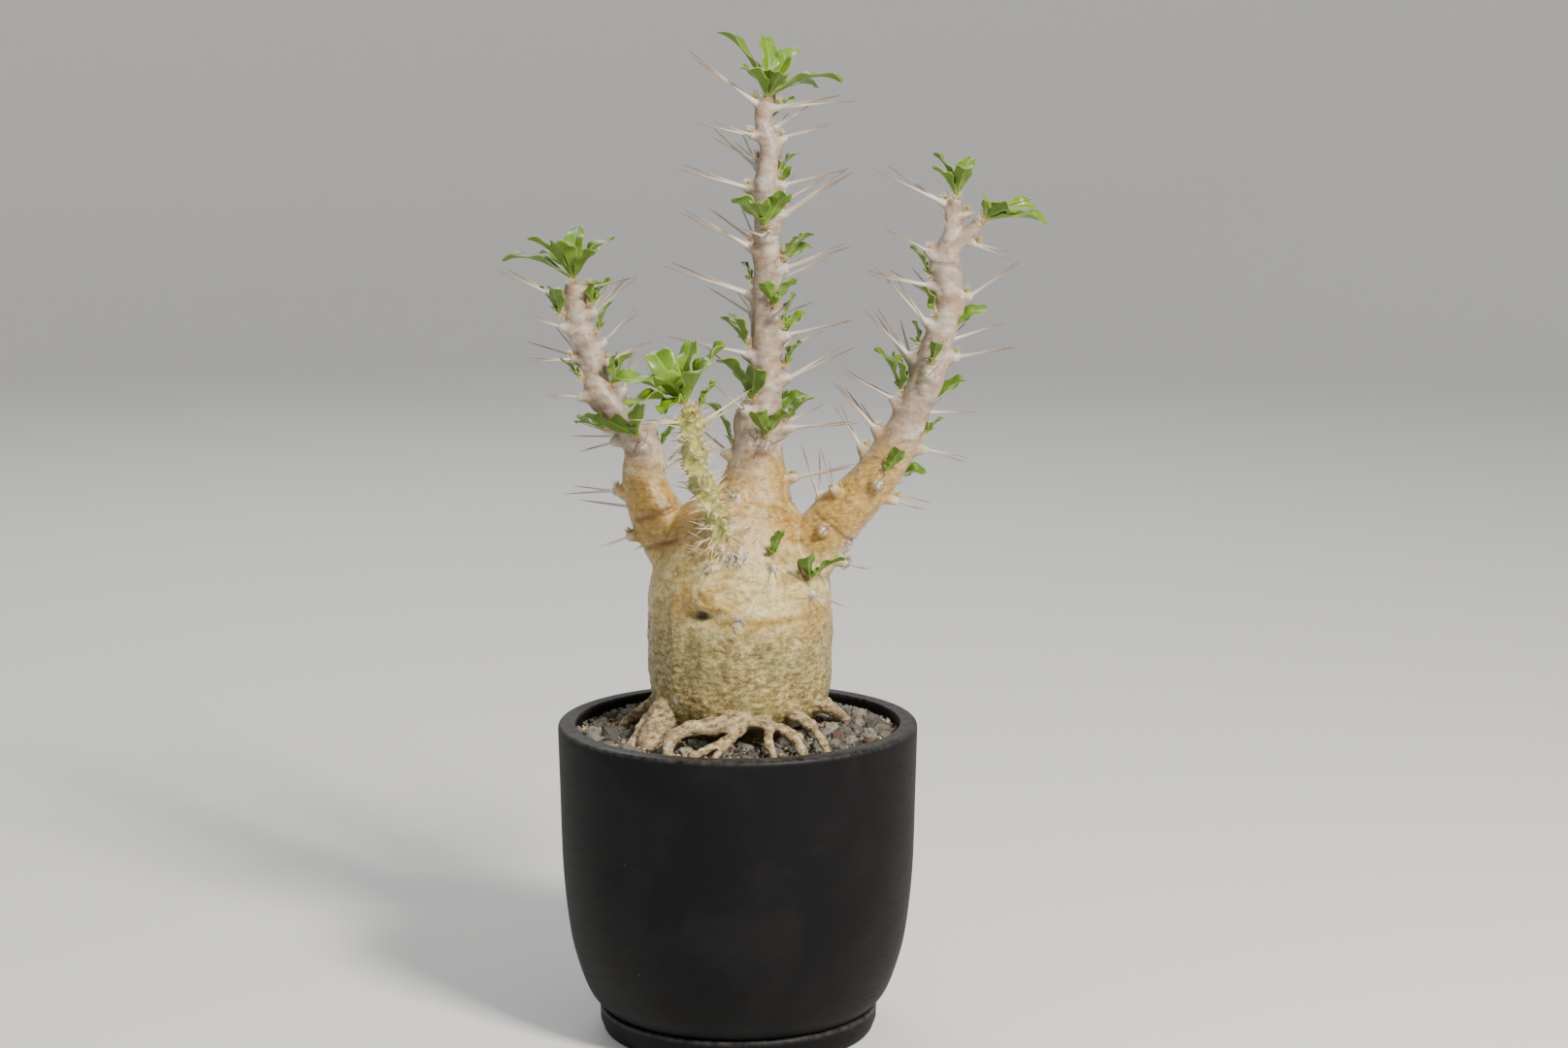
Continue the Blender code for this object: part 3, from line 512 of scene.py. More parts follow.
# %% Every pair of spines
def all_pairs():
    """(stem, height, turn, spine length, leaves, leaf length) of every spine pair."""
    pairs = [(stem, *pair) for stem, rows in PAIRS.items() for pair in rows]
    for stem, (lowest, step, count) in BACK_PAIRS.items():
        for i in range(count):
            turn = 90 + BACK_SWING * (-1) ** i
            pairs.append((stem, lowest + step * i, turn, BACK_SPINE, 2 if i % 2 else 0, BACK_LEAF))
    rng = random.Random(SEED)
    for i in range(YOUNG_PAIRS):
        height = 212 + 53 * i / (YOUNG_PAIRS - 1)
        turn = -90 + GOLDEN_TURN * i
        spine = rng.uniform(*YOUNG_SPINE)
        pairs.append(("young", height, turn, spine, 0, 0))
    pairs.append(("young", 263, 196, 20, 0, 0))
    pairs.append(("young", 262, 4, 24, 1, 13))
    return pairs


def tubercle_size(stem, radius):
    """How far a knob stands out, and how long the ridge under it is."""
    if stem == "young":
        return 2.2, 3.0
    if stem == "caudex":
        return 2.6, 5.0
    return 3.4 + 0.12 * radius, 6.0 + 0.5 * radius


def tubercle(stem, height, turn):
    """A blunt cone that leans up and out, and runs down the stem as a low ridge."""
    centre, radius, up, out = AXIS[stem].outward(height, turn)
    stand, ridge = tubercle_size(stem, radius)
    tip = centre + out * (radius + stand)
    base = centre + out * (radius * 0.62) - up * (stand * 0.5)
    foot = centre + out * (radius * 0.72) - up * ridge
    wide = min(0.5 * radius + 1.1, 4.6)
    return [(*foot, wide * 0.5), (*base, wide), (*base.lerp(tip, 0.55), wide * 0.66), (*tip, 1.6)]


def spine_pair(pair, rng):
    """(root, tip) of the two spines at the end of a knob."""
    stem, height, turn, length = pair[:4]
    centre, radius, up, out = AXIS[stem].outward(height, turn)
    stand, _ = tubercle_size(stem, radius)
    lift = math.radians(-24 if stem == "caudex" else rng.uniform(8, 34))
    side = up.cross(out)
    made = []
    for hand in (-1, 1):
        splay = math.radians(hand * SPINE_SPLAY * rng.uniform(0.6, 1.35))
        aim = out * math.cos(splay) + side * math.sin(splay)
        aim = aim * math.cos(lift) + up * math.sin(lift + math.radians(rng.uniform(-5, 5)))
        aim.normalize()
        tip_of_cone = centre + out * (radius + stand - 0.4) + side * (hand * 0.7)
        made.append((tip_of_cone - aim * SPINE_SINK, tip_of_cone + aim * length * rng.uniform(0.88, 1.06)))
    return made


def root_paths():
    """Every root, the ones at the back spread round the base by turn."""
    paths = [list(path) for path in FRONT_ROOTS]
    rng = random.Random(SEED + 1)
    for turn in BACK_ROOT_TURNS:
        angle = math.radians(turn)
        thick = rng.uniform(4.2, 6.5)
        paths.append([
            (reach * math.cos(angle + bend), reach * math.sin(angle + bend), z, thick * share)
            for reach, bend, z, share in (
                (27, 0, 142, 1.25), (38, 0.05, 136, 0.9), (46, 0.13, 130, 0.72), (51, 0.19, 125, 0.6),
                (54, 0.22, 116, 0.5))
        ])
    return paths


spine_rng = random.Random(SEED + 4)
all_rows = all_pairs()
spines = [spine for pair in all_rows for spine in spine_pair(pair, spine_rng)]
print(len(all_rows), "pairs of spines")

# %% [markdown]
# ## The wood
#
# The base, the stems, the knobs and the roots grew as one body, with no seam where one meets another. Modelling that
# with joined cylinders leaves a hard crease at each joint. It is easier to lay tubes along all the lines, let them
# overlap, and have Blender's voxel remesh draw one skin round the lot, as if they were filled with sand and dipped
# in rubber. A few rounds of smoothing then soften the places where they meet.


# %% Tubes, and one skin round them
VOXEL = 0.72
SHOOT_KNOBS = 96


def tubes(name, paths, sides):
    """A closed round tube along each (x, y, z, radius) path."""
    curve = bpy.data.curves.new(name, "CURVE")
    curve.dimensions = "3D"
    curve.bevel_depth = MM
    curve.bevel_resolution = sides
    curve.use_fill_caps = True
    for path in paths:
        line = curve.splines.new("POLY")
        line.points.add(len(path) - 1)
        for spot, (x, y, z, radius) in zip(line.points, path):
            spot.co = (x * MM, y * MM, z * MM, 1.0)
            spot.radius = radius
    made = bpy.data.objects.new(name, curve)
    bpy.context.scene.collection.objects.link(made)
    return plain(made, name)


def sew(mesh):
    """Joins corners that lie on one another, so that a tube's caps are closed."""
    shape = bmesh.new()
    shape.from_mesh(mesh)
    bmesh.ops.remove_doubles(shape, verts=shape.verts, dist=1e-6)
    bmesh.ops.recalc_face_normals(shape, faces=shape.faces)
    shape.to_mesh(mesh)
    shape.free()


def plain(source, name):
    """A plain mesh object of what the source shows; the source is removed."""
    graph = bpy.context.evaluated_depsgraph_get()
    mesh = bpy.data.meshes.new_from_object(source.evaluated_get(graph))
    mesh.name = name
    bpy.data.objects.remove(source, do_unlink=True)
    made = bpy.data.objects.new(name, mesh)
    bpy.context.scene.collection.objects.link(made)
    return made


def shoot_knobs():
    """(foot, top, outward, up) of the small knobs that crowd the young shoot."""
    rng = random.Random(SEED + 20)
    made = []
    for i in range(SHOOT_KNOBS):
        height = 203 + 63 * (i / SHOOT_KNOBS) ** 1.15
        centre, radius, up, out = AXIS["young"].outward(height, 0.62 * GOLDEN_TURN * i - 90 + rng.uniform(-12, 12))
        made.append((centre + out * (radius - 1.2), centre + out * (radius + 1.5), out, up))
    return made


def slim_root(path):
    """The root with its thickness brought down, but for its first point, which is in the base."""
    return [path[0]] + [(x, y, z, radius * ROOT_SLIM) for x, y, z, radius in path[1:]]


def grow_skin():
    paths = [smooth(points, 6) for points in AXES.values()]
    paths += [smooth(slim_root(path), 6) for path in root_paths()]
    paths += [smooth(CROWN), smooth(KNOB)]
    paths += [tubercle(*pair[:3]) for pair in all_rows]
    paths += [[(*foot, 2.0), (*top, 1.0)] for foot, top, _, _ in shoot_knobs()]
    grown = tubes("woody_body_fine", paths, 6)
    skin = grown.modifiers.new("skin", "REMESH")
    skin.mode = "VOXEL"
    skin.voxel_size = VOXEL * MM
    ease = grown.modifiers.new("ease", "SMOOTH")
    ease.factor = 0.5
    ease.iterations = 5
    return plain(grown, "woody_body_fine")


wood = grow_skin()
print("wood:", len(wood.data.polygons), "faces")


# %% [markdown]
# Where on the plant a point lies decides its colour and its relief: the old base is warty, the stems are smooth and
# silvery, the young shoot is green. So each corner of the skin is asked which axis it lies nearest to, and the answer
# is kept with it as a named number from 0 to 1. The material reads those numbers later.


# %% Which part of the plant is this?
def gap_to_path(spots, path):
    """For many points at once, how far each lies outside the tube along this path."""
    best = np.full(len(spots), 1e9)
    for low, high in zip(path, path[1:]):
        start, way = np.array(low[:3]), np.array(high[:3]) - np.array(low[:3])
        share = np.clip((spots - start) @ way / max(way @ way, 1e-9), 0.0, 1.0)
        gap = np.linalg.norm(spots - start - share[:, None] * way, axis=1)
        best = np.minimum(best, gap - (low[3] + (high[3] - low[3]) * share))
    return best


def gap_to_spots(spots, marks):
    """For many points at once, the distance to the nearest of the marks."""
    best = np.full(len(spots), 1e9)
    for mark in marks:
        best = np.minimum(best, np.linalg.norm(spots - np.array(mark), axis=1))
    return best


def soft_step(value, low, high):
    share = np.clip((value - low) / (high - low), 0.0, 1.0)
    return share * share * (3 - 2 * share)


def coordinates(mesh):
    spots = np.empty(len(mesh.vertices) * 3)
    mesh.vertices.foreach_get("co", spots)
    return spots.reshape(-1, 3) / MM


def directions(mesh):
    away = np.empty(len(mesh.vertices) * 3)
    mesh.vertex_normals.foreach_get("vector", away)
    return away.reshape(-1, 3)


def keep_mark(mesh, name, values):
    mesh.attributes.new(name, "FLOAT", "POINT").data.foreach_set("value", np.asarray(values, np.float32))


def noise_at(spots, scale, shift=0.0):
    """Smooth noise from about -1 to 1; scale is the size of a lump, as one number or as x, y and z."""
    sized = spots / np.asarray(scale) + shift
    return np.array([noise.noise(spot) for spot in sized])


def near(spots, marks):
    """1 at each (x, y, z, radius) mark and 0 from its radius on."""
    best = np.zeros(len(spots))
    for x, y, z, radius in marks:
        gap = np.linalg.norm(spots - (x, y, z), axis=1) / radius
        best = np.maximum(best, 1 - soft_step(gap, 0.35, 1.0))
    return best


OCHRE_MARKS = ((47, -13, 225, 21), (60, -15, 240, 17), (36, -16, 213, 17), (-34, -8, 212, 20), (-37, -4, 226, 15),
               (-21, -32, 188, 10), (-9, -38, 191, 9), (33, -24, 178, 12), (-27, -28, 184, 9), (16, -10, 238, 11),
               (22, -20, 220, 15), (50, 6, 222, 18), (-30, 18, 212, 17), (0, 24, 214, 16), (26, 20, 190, 14),
               (-13, -38, 192, 8), (-2, -38.5, 184, 6))
PEEL_MARKS = ((-1, -33, 206, 6), (50, -6, 207, 9), (46, -12, 204, 7), (-27, -29, 145, 5), (55, -5, 214, 7), (7, -11, 252, 7),
              (0.5, -38, 180.5, 3.6))


def fold_height(spots):
    return 179 + 1.6 * noise_at(spots, 16.0, 6.0)


def waist_band(spots):
    """The ochre line along the waist, at the front right."""
    line = np.exp(-((spots[:, 2] - fold_height(spots) - 0.6) / 2.3) ** 2)
    front = soft_step(-spots[:, 1], 0, 16) * soft_step(spots[:, 0], -16, -2)
    return line * front


def swell(spots, x, z, wide, high):
    """1 at a place on the front of the base, and less away from it, by its own width and height."""
    gap = ((spots[:, 0] - x) / wide) ** 2 + ((spots[:, 2] - z) / high) ** 2
    return np.exp(-gap) * soft_step(-spots[:, 1], 10, 25)


def brow(spots):
    """The arched fold of skin over the hollow, which runs on into the waist at its right."""
    arch = 187.2 - 0.032 * (spots[:, 0] + 12) ** 2
    fold = np.exp(-((spots[:, 2] - arch) / 1.7) ** 2) * np.exp(-((spots[:, 0] + 10) / 9.0) ** 2)
    return fold * soft_step(-spots[:, 1], 10, 25)


CREASES = ((-33, -8, 207, 15, 0.45), (-35, -6, 219, 12, 0.30), (41, -14, 214, 12, -0.8))


def crease_lines(spots):
    """Folds round the feet of the stems: centre, reach, and slope along x."""
    lines = np.zeros(len(spots))
    bent = spots[:, 2] + 1.2 * noise_at(spots, 9.0, 13.0)
    for x, y, z, reach, slope in CREASES:
        line = np.exp(-((bent - z - slope * (spots[:, 0] - x)) / 1.1) ** 2)
        lines = np.maximum(lines, line * near(spots, ((x, y, z, reach * 1.4),)))
    return lines


def wart_share(spots):
    """How thickly the warts stand: most below the waist and on the flanks, fewer at the front."""
    height = spots[:, 2]
    zone = soft_step(height, 143, 150) * (1 - soft_step(height, 186, 202))
    reach = np.linalg.norm(spots[:, :2] - (1, 0), axis=1)
    patchy = 0.25 + 0.75 * soft_step(noise_at(spots, 11.0, 2.0), -0.15, 0.35)
    flank = 0.45 + 0.55 * soft_step(np.abs(spots[:, 0] - 1), 22, 32)
    knob = np.exp(-((spots[:, 0] + 9) / 14) ** 2 - ((height - 189) / 9) ** 2)
    return zone * patchy * flank * (reach < 44) * (1 - soft_step(knob, 0.2, 0.6))


def part_marks(spots):
    """The named numbers of every corner."""
    gaps = {name: gap_to_path(spots, smooth(points, 4)) for name, points in AXES.items()}
    old = gaps["caudex"]
    stems = np.minimum.reduce([gaps[name] for name in ("centre", "left", "right", "side")])
    height = spots[:, 2]
    warped = height + 5 * noise_at(spots, 14.0, 3.0)
    roots = np.minimum.reduce([gap_to_path(spots, slim_root(path)) for path in root_paths()])
    to_tip = gap_to_spots(spots, [tubercle(*pair[:3])[-1][:3] for pair in all_rows])
    to_nub = gap_to_spots(spots, [top for _, top, _, _ in shoot_knobs()])
    return {
        "stem": soft_step(warped, 226, 252) * (stems < old + 4),
        "young": soft_step(np.minimum(stems, old) - gaps["young"], -0.6, 0.8) * soft_step(height, 203, 209),
        "root": soft_step(old - roots, -0.5, 0.7) * soft_step(height, 146, 142),
        "tip": 1 - soft_step(to_tip, 0.8, 4.8),
        "nub": 1 - soft_step(to_nub, 0.3, 1.9),
        "ochre": near(spots + 3.0 * noise_at(spots, 7.0, 9.0)[:, None], OCHRE_MARKS),
        "peel": near(spots + 2.0 * noise_at(spots, 3.0, 5.0)[:, None], PEEL_MARKS),
        "below": 1 - soft_step(warped + 4 * noise_at(spots, 5.0, 11.0), 168, 188),
        "warm": soft_step(warped, 199, 216) * (1 - soft_step(warped, 236, 262)),
        "band": waist_band(spots),
        # mask of the painted shade that darkens the hollow under the knob
        "hollow": soft_step(swell(spots, -14.4, 182.5, 5.2, 2.3), 0.22, 0.95),
        "wart": wart_share(spots),
        "crease": crease_lines(spots),
    }


spots = coordinates(wood.data)
marks = part_marks(spots)
print({name: round(float(values.mean()), 3) for name, values in marks.items()})

# %% [markdown]
# Now the relief. Below the waist the skin is lumpy and drawn into short level wrinkles, with a shallow fold at the
# waist and a hollow under the healed knob, which the paint later darkens with painted shade. Above it the skin is
# smooth. The corners are pushed along their own directions by a sum of noises, each no deeper than the real thing:
# a few tenths of a millimetre.

# %% Relief of the skin
WOOD_TRIANGLES = 190000


def relief(spots, marks):
    base = 1 - soft_step(spots[:, 2], 196, 214)
    lumps = 0.55 * noise_at(spots, 10.0) + 0.22 * noise_at(spots, 4.5, 2.0)
    creases = noise_at(spots, (5.0, 5.0, 2.4), 4.0)
    warts = np.clip(noise_at(spots, 2.4, 8.0) - 0.12, 0, 1)
    fold = np.exp(-((spots[:, 2] - fold_height(spots)) / 1.1) ** 2) * base
    low = np.exp(-((spots[:, 2] - 145) / 7.0) ** 2)
    depth = lumps * (0.35 + 0.65 * base) + marks["below"] * base * (0.15 * creases + 0.7 * warts)
    depth += low * 0.11 * np.sin(spots[:, 2] * 2.3 + 2.0 * noise_at(spots, 12.0, 1.0))
    depth -= 0.35 * fold
    depth += 2.0 * swell(spots, -9.5, 188.6, 10.5, 5.0) - 3.8 * swell(spots, -14.2, 182.6, 5.0, 2.3)
    depth += 1.3 * brow(spots)
    depth -= 0.8 * marks["crease"]
    depth += 0.9 * waist_band(spots - (0, 0, 2.0))
    depth += marks["root"] * (0.5 * noise_at(spots, 2.4, 3.0) + 0.7 * noise_at(spots, 4.6, 7.0))
    depth += marks["peel"] * 0.7 * noise_at(spots, 1.7, 7.0)
    depth -= marks["young"] * 0.15
    return depth


def push_out(mesh, spots, depth):
    moved = (spots + directions(mesh) * depth[:, None]) * MM
    mesh.vertices.foreach_set("co", moved.ravel())
    mesh.update()


def thinned(source, name, triangles):
    """The same shape with fewer faces, taken where the surface is flattest."""
    source.data.calc_loop_triangles()
    step = source.modifiers.new("thin", "DECIMATE")
    step.ratio = min(triangles / len(source.data.loop_triangles), 1.0)
    return plain(source, name)


push_out(wood.data, spots, relief(spots, marks))
for name, values in marks.items():
    keep_mark(wood.data, name, values)
wood = thinned(wood, "woody_body_fine", WOOD_TRIANGLES)
wood.data.shade_smooth()
print("wood's relief done,", len(wood.data.polygons), "faces left")


# %% [markdown]
# The colour of the skin is built up as a painter would, from the ground colour to the small marks: cream on the base,
# mottled with tan and olive below the waist, ochre where a stem leaves the base, a silvery bloom higher up,
# dark pores, and pale tips on the knobs. Last comes painted shade: brown along the creases at the stems' feet and
# near black in the hollow under the healed knob. Each layer goes on with a mask.


# %% Paint for the bark
def bark():
    paint = Paint("bark", Specular_IOR_Level=0.5)
    level = paint.stretched(1, 1, 2.2)
    blotch = paint.noise(95, 5, 0.62, level, 0.6)
    patch = paint.noise(290, 6, 0.74, level)
    grain = paint.noise(900, 3, 0.6)
    mottle = paint.noise(420, 4, 0.7)
    cream = paint.ramp(blotch, (0.30, (0.26, 0.155, 0.030)), (0.45, (0.49, 0.365, 0.13)), (0.64, (0.67, 0.56, 0.29)))
    tan = paint.ramp(patch, (0.36, (0.066, 0.050, 0.014)), (0.44, (0.18, 0.135, 0.036)), (0.51, (0.35, 0.235, 0.070)),
                     (0.58, (0.49, 0.39, 0.16)), (0.68, (0.64, 0.57, 0.34)))
    olive = paint.ramp(patch, (0.36, (0.085, 0.085, 0.02)), (0.66, (0.37, 0.33, 0.13)))
    tan = paint.mix(tan, olive, paint.rise(paint.noise(70, 3, 0.6, warp=0.5), 0.46, 0.62) * 0.7)
    ochre = paint.ramp(patch, (0.34, (0.185, 0.082, 0.012)), (0.5, (0.41, 0.24, 0.035)), (0.66, (0.58, 0.405, 0.11)))
    warm = paint.ramp(blotch, (0.30, (0.26, 0.135, 0.036)), (0.48, (0.48, 0.305, 0.105)), (0.66, (0.62, 0.48, 0.23)))
    silver = paint.ramp(blotch, (0.28, (0.180, 0.115, 0.078)), (0.44, (0.31, 0.23, 0.168)),
                        (0.56, (0.405, 0.335, 0.265)), (0.68, (0.52, 0.475, 0.405)))
    green = paint.ramp(patch, (0.34, (0.15, 0.16, 0.022)), (0.5, (0.34, 0.33, 0.075)), (0.66, (0.53, 0.49, 0.20)))
    rooty = paint.ramp(patch, (0.35, (0.10, 0.052, 0.020)), (0.46, (0.31, 0.205, 0.095)), (0.60, (0.57, 0.47, 0.29)))
    colour = paint.mix(cream, tan, paint.mark("below") * 0.88)
    colour = paint.mix(colour, warm, paint.mark("warm"))
    silver = paint.mix(silver, (0.335, 0.205, 0.105), paint.rise(paint.noise(62, 4, 0.6), 0.48, 0.66) * 0.5)
    colour = paint.mix(colour, silver, paint.mark("stem"))
    colour = paint.mix(colour, ochre, paint.mark("ochre") * paint.rise(blotch, 0.25, 0.52) * 0.8)
    colour = paint.mix(colour, (0.42, 0.255, 0.045), paint.mark("band") * 0.7)
    colour = paint.mix(colour, rooty, paint.mark("root"))
    green = paint.mix(green, (0.66, 0.60, 0.34), paint.mark("nub") * 0.55)
    colour = paint.mix(colour, green, paint.mark("young"))
    cork = paint.ramp(grain, (0.35, (0.20, 0.16, 0.11)), (0.6, (0.54, 0.46, 0.34)))
    colour = paint.mix(colour, cork, paint.mark("peel"))
    colour = paint.mix(colour, (0.60, 0.54, 0.44), paint.mark("tip") * (1 - paint.mark("young")) * 0.72)
    pore = paint.cells(520)
    speck = paint.rise(pore, 0.17, 0.09) * paint.rise(paint.noise(240, 2), 0.54, 0.62)
    colour = paint.mix(colour, (0.05, 0.03, 0.014), speck * 0.7)
    fleck = paint.rise(paint.noise(1300, 3, 0.7, level), 0.58, 0.70) * paint.mark("below")
    colour = paint.mix(colour, (0.66, 0.58, 0.36), fleck * 0.55)
    shade = paint.rise(mottle, 0.36, 0.56)
    colour = paint.mix(paint.mix((0, 0, 0), colour, 0.62), colour, shade + paint.mark("stem") * 0.3)
    # Painted shade: the creases at the stems' feet are darkened brown.
    colour = paint.mix(colour, (0.15, 0.06, 0.02), paint.mark("crease") * 0.75)
    # Painted shade: the hollow under the healed knob is painted near black.
    colour = paint.mix(colour, (0.018, 0.010, 0.004), paint.mark("hollow") * 0.92)
    pimple = paint.rise(paint.cells(640), 0.42, 0.0) * paint.rise(paint.noise(170, 3), 0.46, 0.66)
    lower = paint.mark("below") * (1 - paint.mark("root"))
    rough = 0.36 + 0.24 * paint.rise(blotch, 0.35, 0.65) + 0.22 * paint.mark("root") - 0.08 * paint.mark("ochre")
    height = paint.noise(620, 4, 0.65) * 0.4 + grain * 0.2 + mottle * 0.35 + pimple * lower * 0.42 + fleck * 0.25
    height = (height - speck * 0.5) * (1 - paint.mark("stem") * 0.45)
    return paint.coat(Base_Color=colour, Roughness=rough, Normal=paint.bump(height, 0.6))


wood.data.materials.append(bark())
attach(wood, "root")
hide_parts("woody_body")
print("bark painted")

# %% [markdown]
# ## Spines
#
# Each spine is a long thin cone with a swollen foot that melts into its knob, pale grey at the foot and red-brown
# towards the tip. There are more than two hundred of them and they differ only in place, direction and length, so
# this is a task for Geometry Nodes: one pattern spine, and a cloud of points that says where each copy goes.
#
# The recipe takes points that carry two named numbers, `aim` and `long`. It draws one spine up the Z axis, stores how
# far along it each ring lies, and sets a copy on every point.


# %% Writing a recipe
class Recipe(Tree):
    """A Geometry Nodes tree with named inputs; it ends by making the copies real and giving them their material."""

    def __init__(self, name, **inputs):
        super().__init__(bpy.data.node_groups.new(name, "GeometryNodeTree"))
        face = self.tree.interface
        face.new_socket("Geometry", in_out="INPUT", socket_type="NodeSocketGeometry")
        face.new_socket("Geometry", in_out="OUTPUT", socket_type="NodeSocketGeometry")
        self.ids = {}
        kinds = {float: "NodeSocketFloat", int: "NodeSocketInt"}
        for title, value in inputs.items():
            made = face.new_socket(title, in_out="INPUT", socket_type=kinds[type(value)])
            made.default_value = value
            self.ids[title] = made.identifier
        self.start = self.tree.nodes.new("NodeGroupInput")
        self.values = inputs

    def given(self, title="Geometry"):
        return Value(self, self.start.outputs[title])

    def named(self, name, kind="FLOAT"):
        return self.node("GeometryNodeInputNamedAttribute", {"data_type": kind}, {"Name": name})

    def random(self, low, high, seed, kind="FLOAT"):
        first = {"FLOAT_VECTOR": 0, "FLOAT": 2}[kind]
        return self.node("FunctionNodeRandomValue", {"data_type": kind}, {first: low, first + 1: high, "Seed": seed},
                         first // 2)

    def vector(self, x, y, z):
        return self.node("ShaderNodeCombineXYZ", inputs={0: x, 1: y, 2: z})

    def finish(self, geometry, finish):
        real = self.node("GeometryNodeRealizeInstances", inputs={"Geometry": geometry})
        painted = self.node("GeometryNodeSetMaterial", inputs={"Geometry": real, "Material": finish})
        end = self.tree.nodes.new("NodeGroupOutput")
        self.feed(end.inputs["Geometry"], painted)

    def cook(self, source, name):
        """Runs the recipe on an object and leaves a plain mesh object in its place."""
        step = source.modifiers.new("recipe", "NODES")
        step.node_group = self.tree
        for title, value in self.values.items():
            step[self.ids[title]] = value
        return plain(source, name)


def point_cloud(name, spots, **numbers):
    """Loose points in millimetres, each with named numbers; a name whose values are sequences holds vectors."""
    mesh = bpy.data.meshes.new(name)
    mesh.from_pydata([Vector(spot) * MM for spot in spots], [], [])
    for title, values in numbers.items():
        if hasattr(values[0], "__len__"):
            kept = mesh.attributes.new(title, "FLOAT_VECTOR", "POINT")
            kept.data.foreach_set("vector", np.array([list(v) for v in values], np.float32).ravel())
        else:
            kept = mesh.attributes.new(title, "FLOAT", "POINT")
            kept.data.foreach_set("value", np.array(values, np.float32))
    made = bpy.data.objects.new(name, mesh)
    bpy.context.scene.collection.objects.link(made)
    return made


print("recipe class ready")


# %% Paint for the spines
def spine_paint():
    paint = Paint("spine", Specular_IOR_Level=0.5)
    along = paint.mark("along")
    tone = paint.ramp(along, (0.0, (0.56, 0.50, 0.41)), (0.16, (0.55, 0.49, 0.41)), (0.45, (0.44, 0.36, 0.28)),
                      (0.74, (0.27, 0.16, 0.10)), (0.97, (0.10, 0.042, 0.026)))
    pale = paint.ramp(along, (0.0, (0.46, 0.43, 0.20)), (0.35, (0.58, 0.50, 0.30)), (0.75, (0.50, 0.36, 0.17)),
                      (1.0, (0.20, 0.09, 0.035)))
    tone = paint.mix(tone, pale, paint.mark("pale"))
    streak = paint.noise(700, 3, 0.6)
    colour = paint.mix(tone, (0.62, 0.56, 0.48), paint.rise(streak, 0.52, 0.70) * 0.5 * (1 - along))
    return paint.coat(Base_Color=colour, Roughness=0.34 + 0.2 * streak, Normal=paint.bump(streak, 0.06))


# %% Spines by recipe
def spine_recipe(finish):
    recipe = Recipe("spine_recipe", Sides=7, Rings=9, Foot=1.6 * MM, Neck=0.78 * MM)
    line = recipe.node("GeometryNodeCurvePrimitiveLine", inputs={"End": (0.0, 0.0, 1.0)})
    line = recipe.node("GeometryNodeResampleCurve", inputs={"Curve": line, "Count": recipe.given("Rings")})
    spread = recipe.node("GeometryNodeSplineParameter")
    position = recipe.vector(0.0, 0.0, spread ** 1.7)
    line = recipe.node("GeometryNodeSetPosition", inputs={"Geometry": line, "Position": position})
    along = recipe.node("ShaderNodeSeparateXYZ", inputs={0: recipe.node("GeometryNodeInputPosition")}, output=2)
    line = recipe.node("GeometryNodeStoreNamedAttribute", {"domain": "POINT"},
                       {"Geometry": line, "Name": "along", "Value": along})
    foot = (1 - along) ** 11.0
    taper = (1 - along) ** 0.8
    width = foot * (recipe.given("Foot") - recipe.given("Neck")) + taper * recipe.given("Neck") + 0.05 * MM
    ring = recipe.node("GeometryNodeCurvePrimitiveCircle", inputs={"Resolution": recipe.given("Sides"), "Radius": 1.0})
    spine = recipe.node("GeometryNodeCurveToMesh", inputs={"Curve": line, "Profile Curve": ring, "Scale": width,
                                                           "Fill Caps": True})
    turn = recipe.node("FunctionNodeAlignRotationToVector", {"axis": "Z"},
                       {"Vector": recipe.named("aim", "FLOAT_VECTOR")})
    girth = recipe.named("girth")
    copies = recipe.node("GeometryNodeInstanceOnPoints", inputs={
        "Points": recipe.given(), "Instance": spine, "Rotation": turn,
        "Scale": recipe.vector(girth, girth, recipe.named("long"))})
    recipe.finish(copies, finish)
    return recipe


def shoot_spines():
    """Short spines on the knobs of the young shoot, and a tangle of longer ones round its foot."""
    rng = random.Random(SEED + 21)
    made = []
    for _, top, out, up in shoot_knobs():
        low = top.z < 216
        for _ in range(3 if low else 1):
            lean = 0.8 if low else 0.4
            aim = (out + up * rng.uniform(-0.7 * lean, lean) + up.cross(out) * rng.uniform(-lean, lean)).normalized()
            made.append((top - aim * 0.8, top + aim * (rng.uniform(6.5, 12) if low else rng.uniform(4.0, 8.0))))
    return made


def make_spines():
    young = [pair[0] == "young" for pair in all_rows for _ in (0, 1)]
    stubby = shoot_spines()
    spots, aims, longs, girths = [], [], [], []
    for root, tip in spines + stubby:
        way = tip - root
        start = root + way.normalized() * (SPINE_SINK - 2.5 if len(spots) < len(spines) else 0.0)
        spots.append(start)
        aims.append(way.normalized())
        longs.append((tip - start).length * MM)
        girths.append(min(max((tip - start).length / 30.0, 0.5), 1.08))
    pales = [float(flag) for flag in young] + [1.0] * len(stubby)
    cloud = point_cloud("spines", spots, aim=aims, long=longs, girth=girths, pale=pales)
    made = spine_recipe(spine_paint()).cook(cloud, "spines")
    made.data.shade_smooth()
    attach(made, "root")
    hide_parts("woody_body")
    return made


print("spines:", len(make_spines().data.polygons), "faces")

# %% [markdown]
# ## Warts and scraps of skin
#
# The base is dotted with small pale warts, and two or three places carry scraps of old, papery skin. Both are strewn
# over the surface, so the recipe takes the skin itself and picks points on it, as thickly as a named number says.
# A wart is a flattened ball, and a scrap is a thin bent plate.


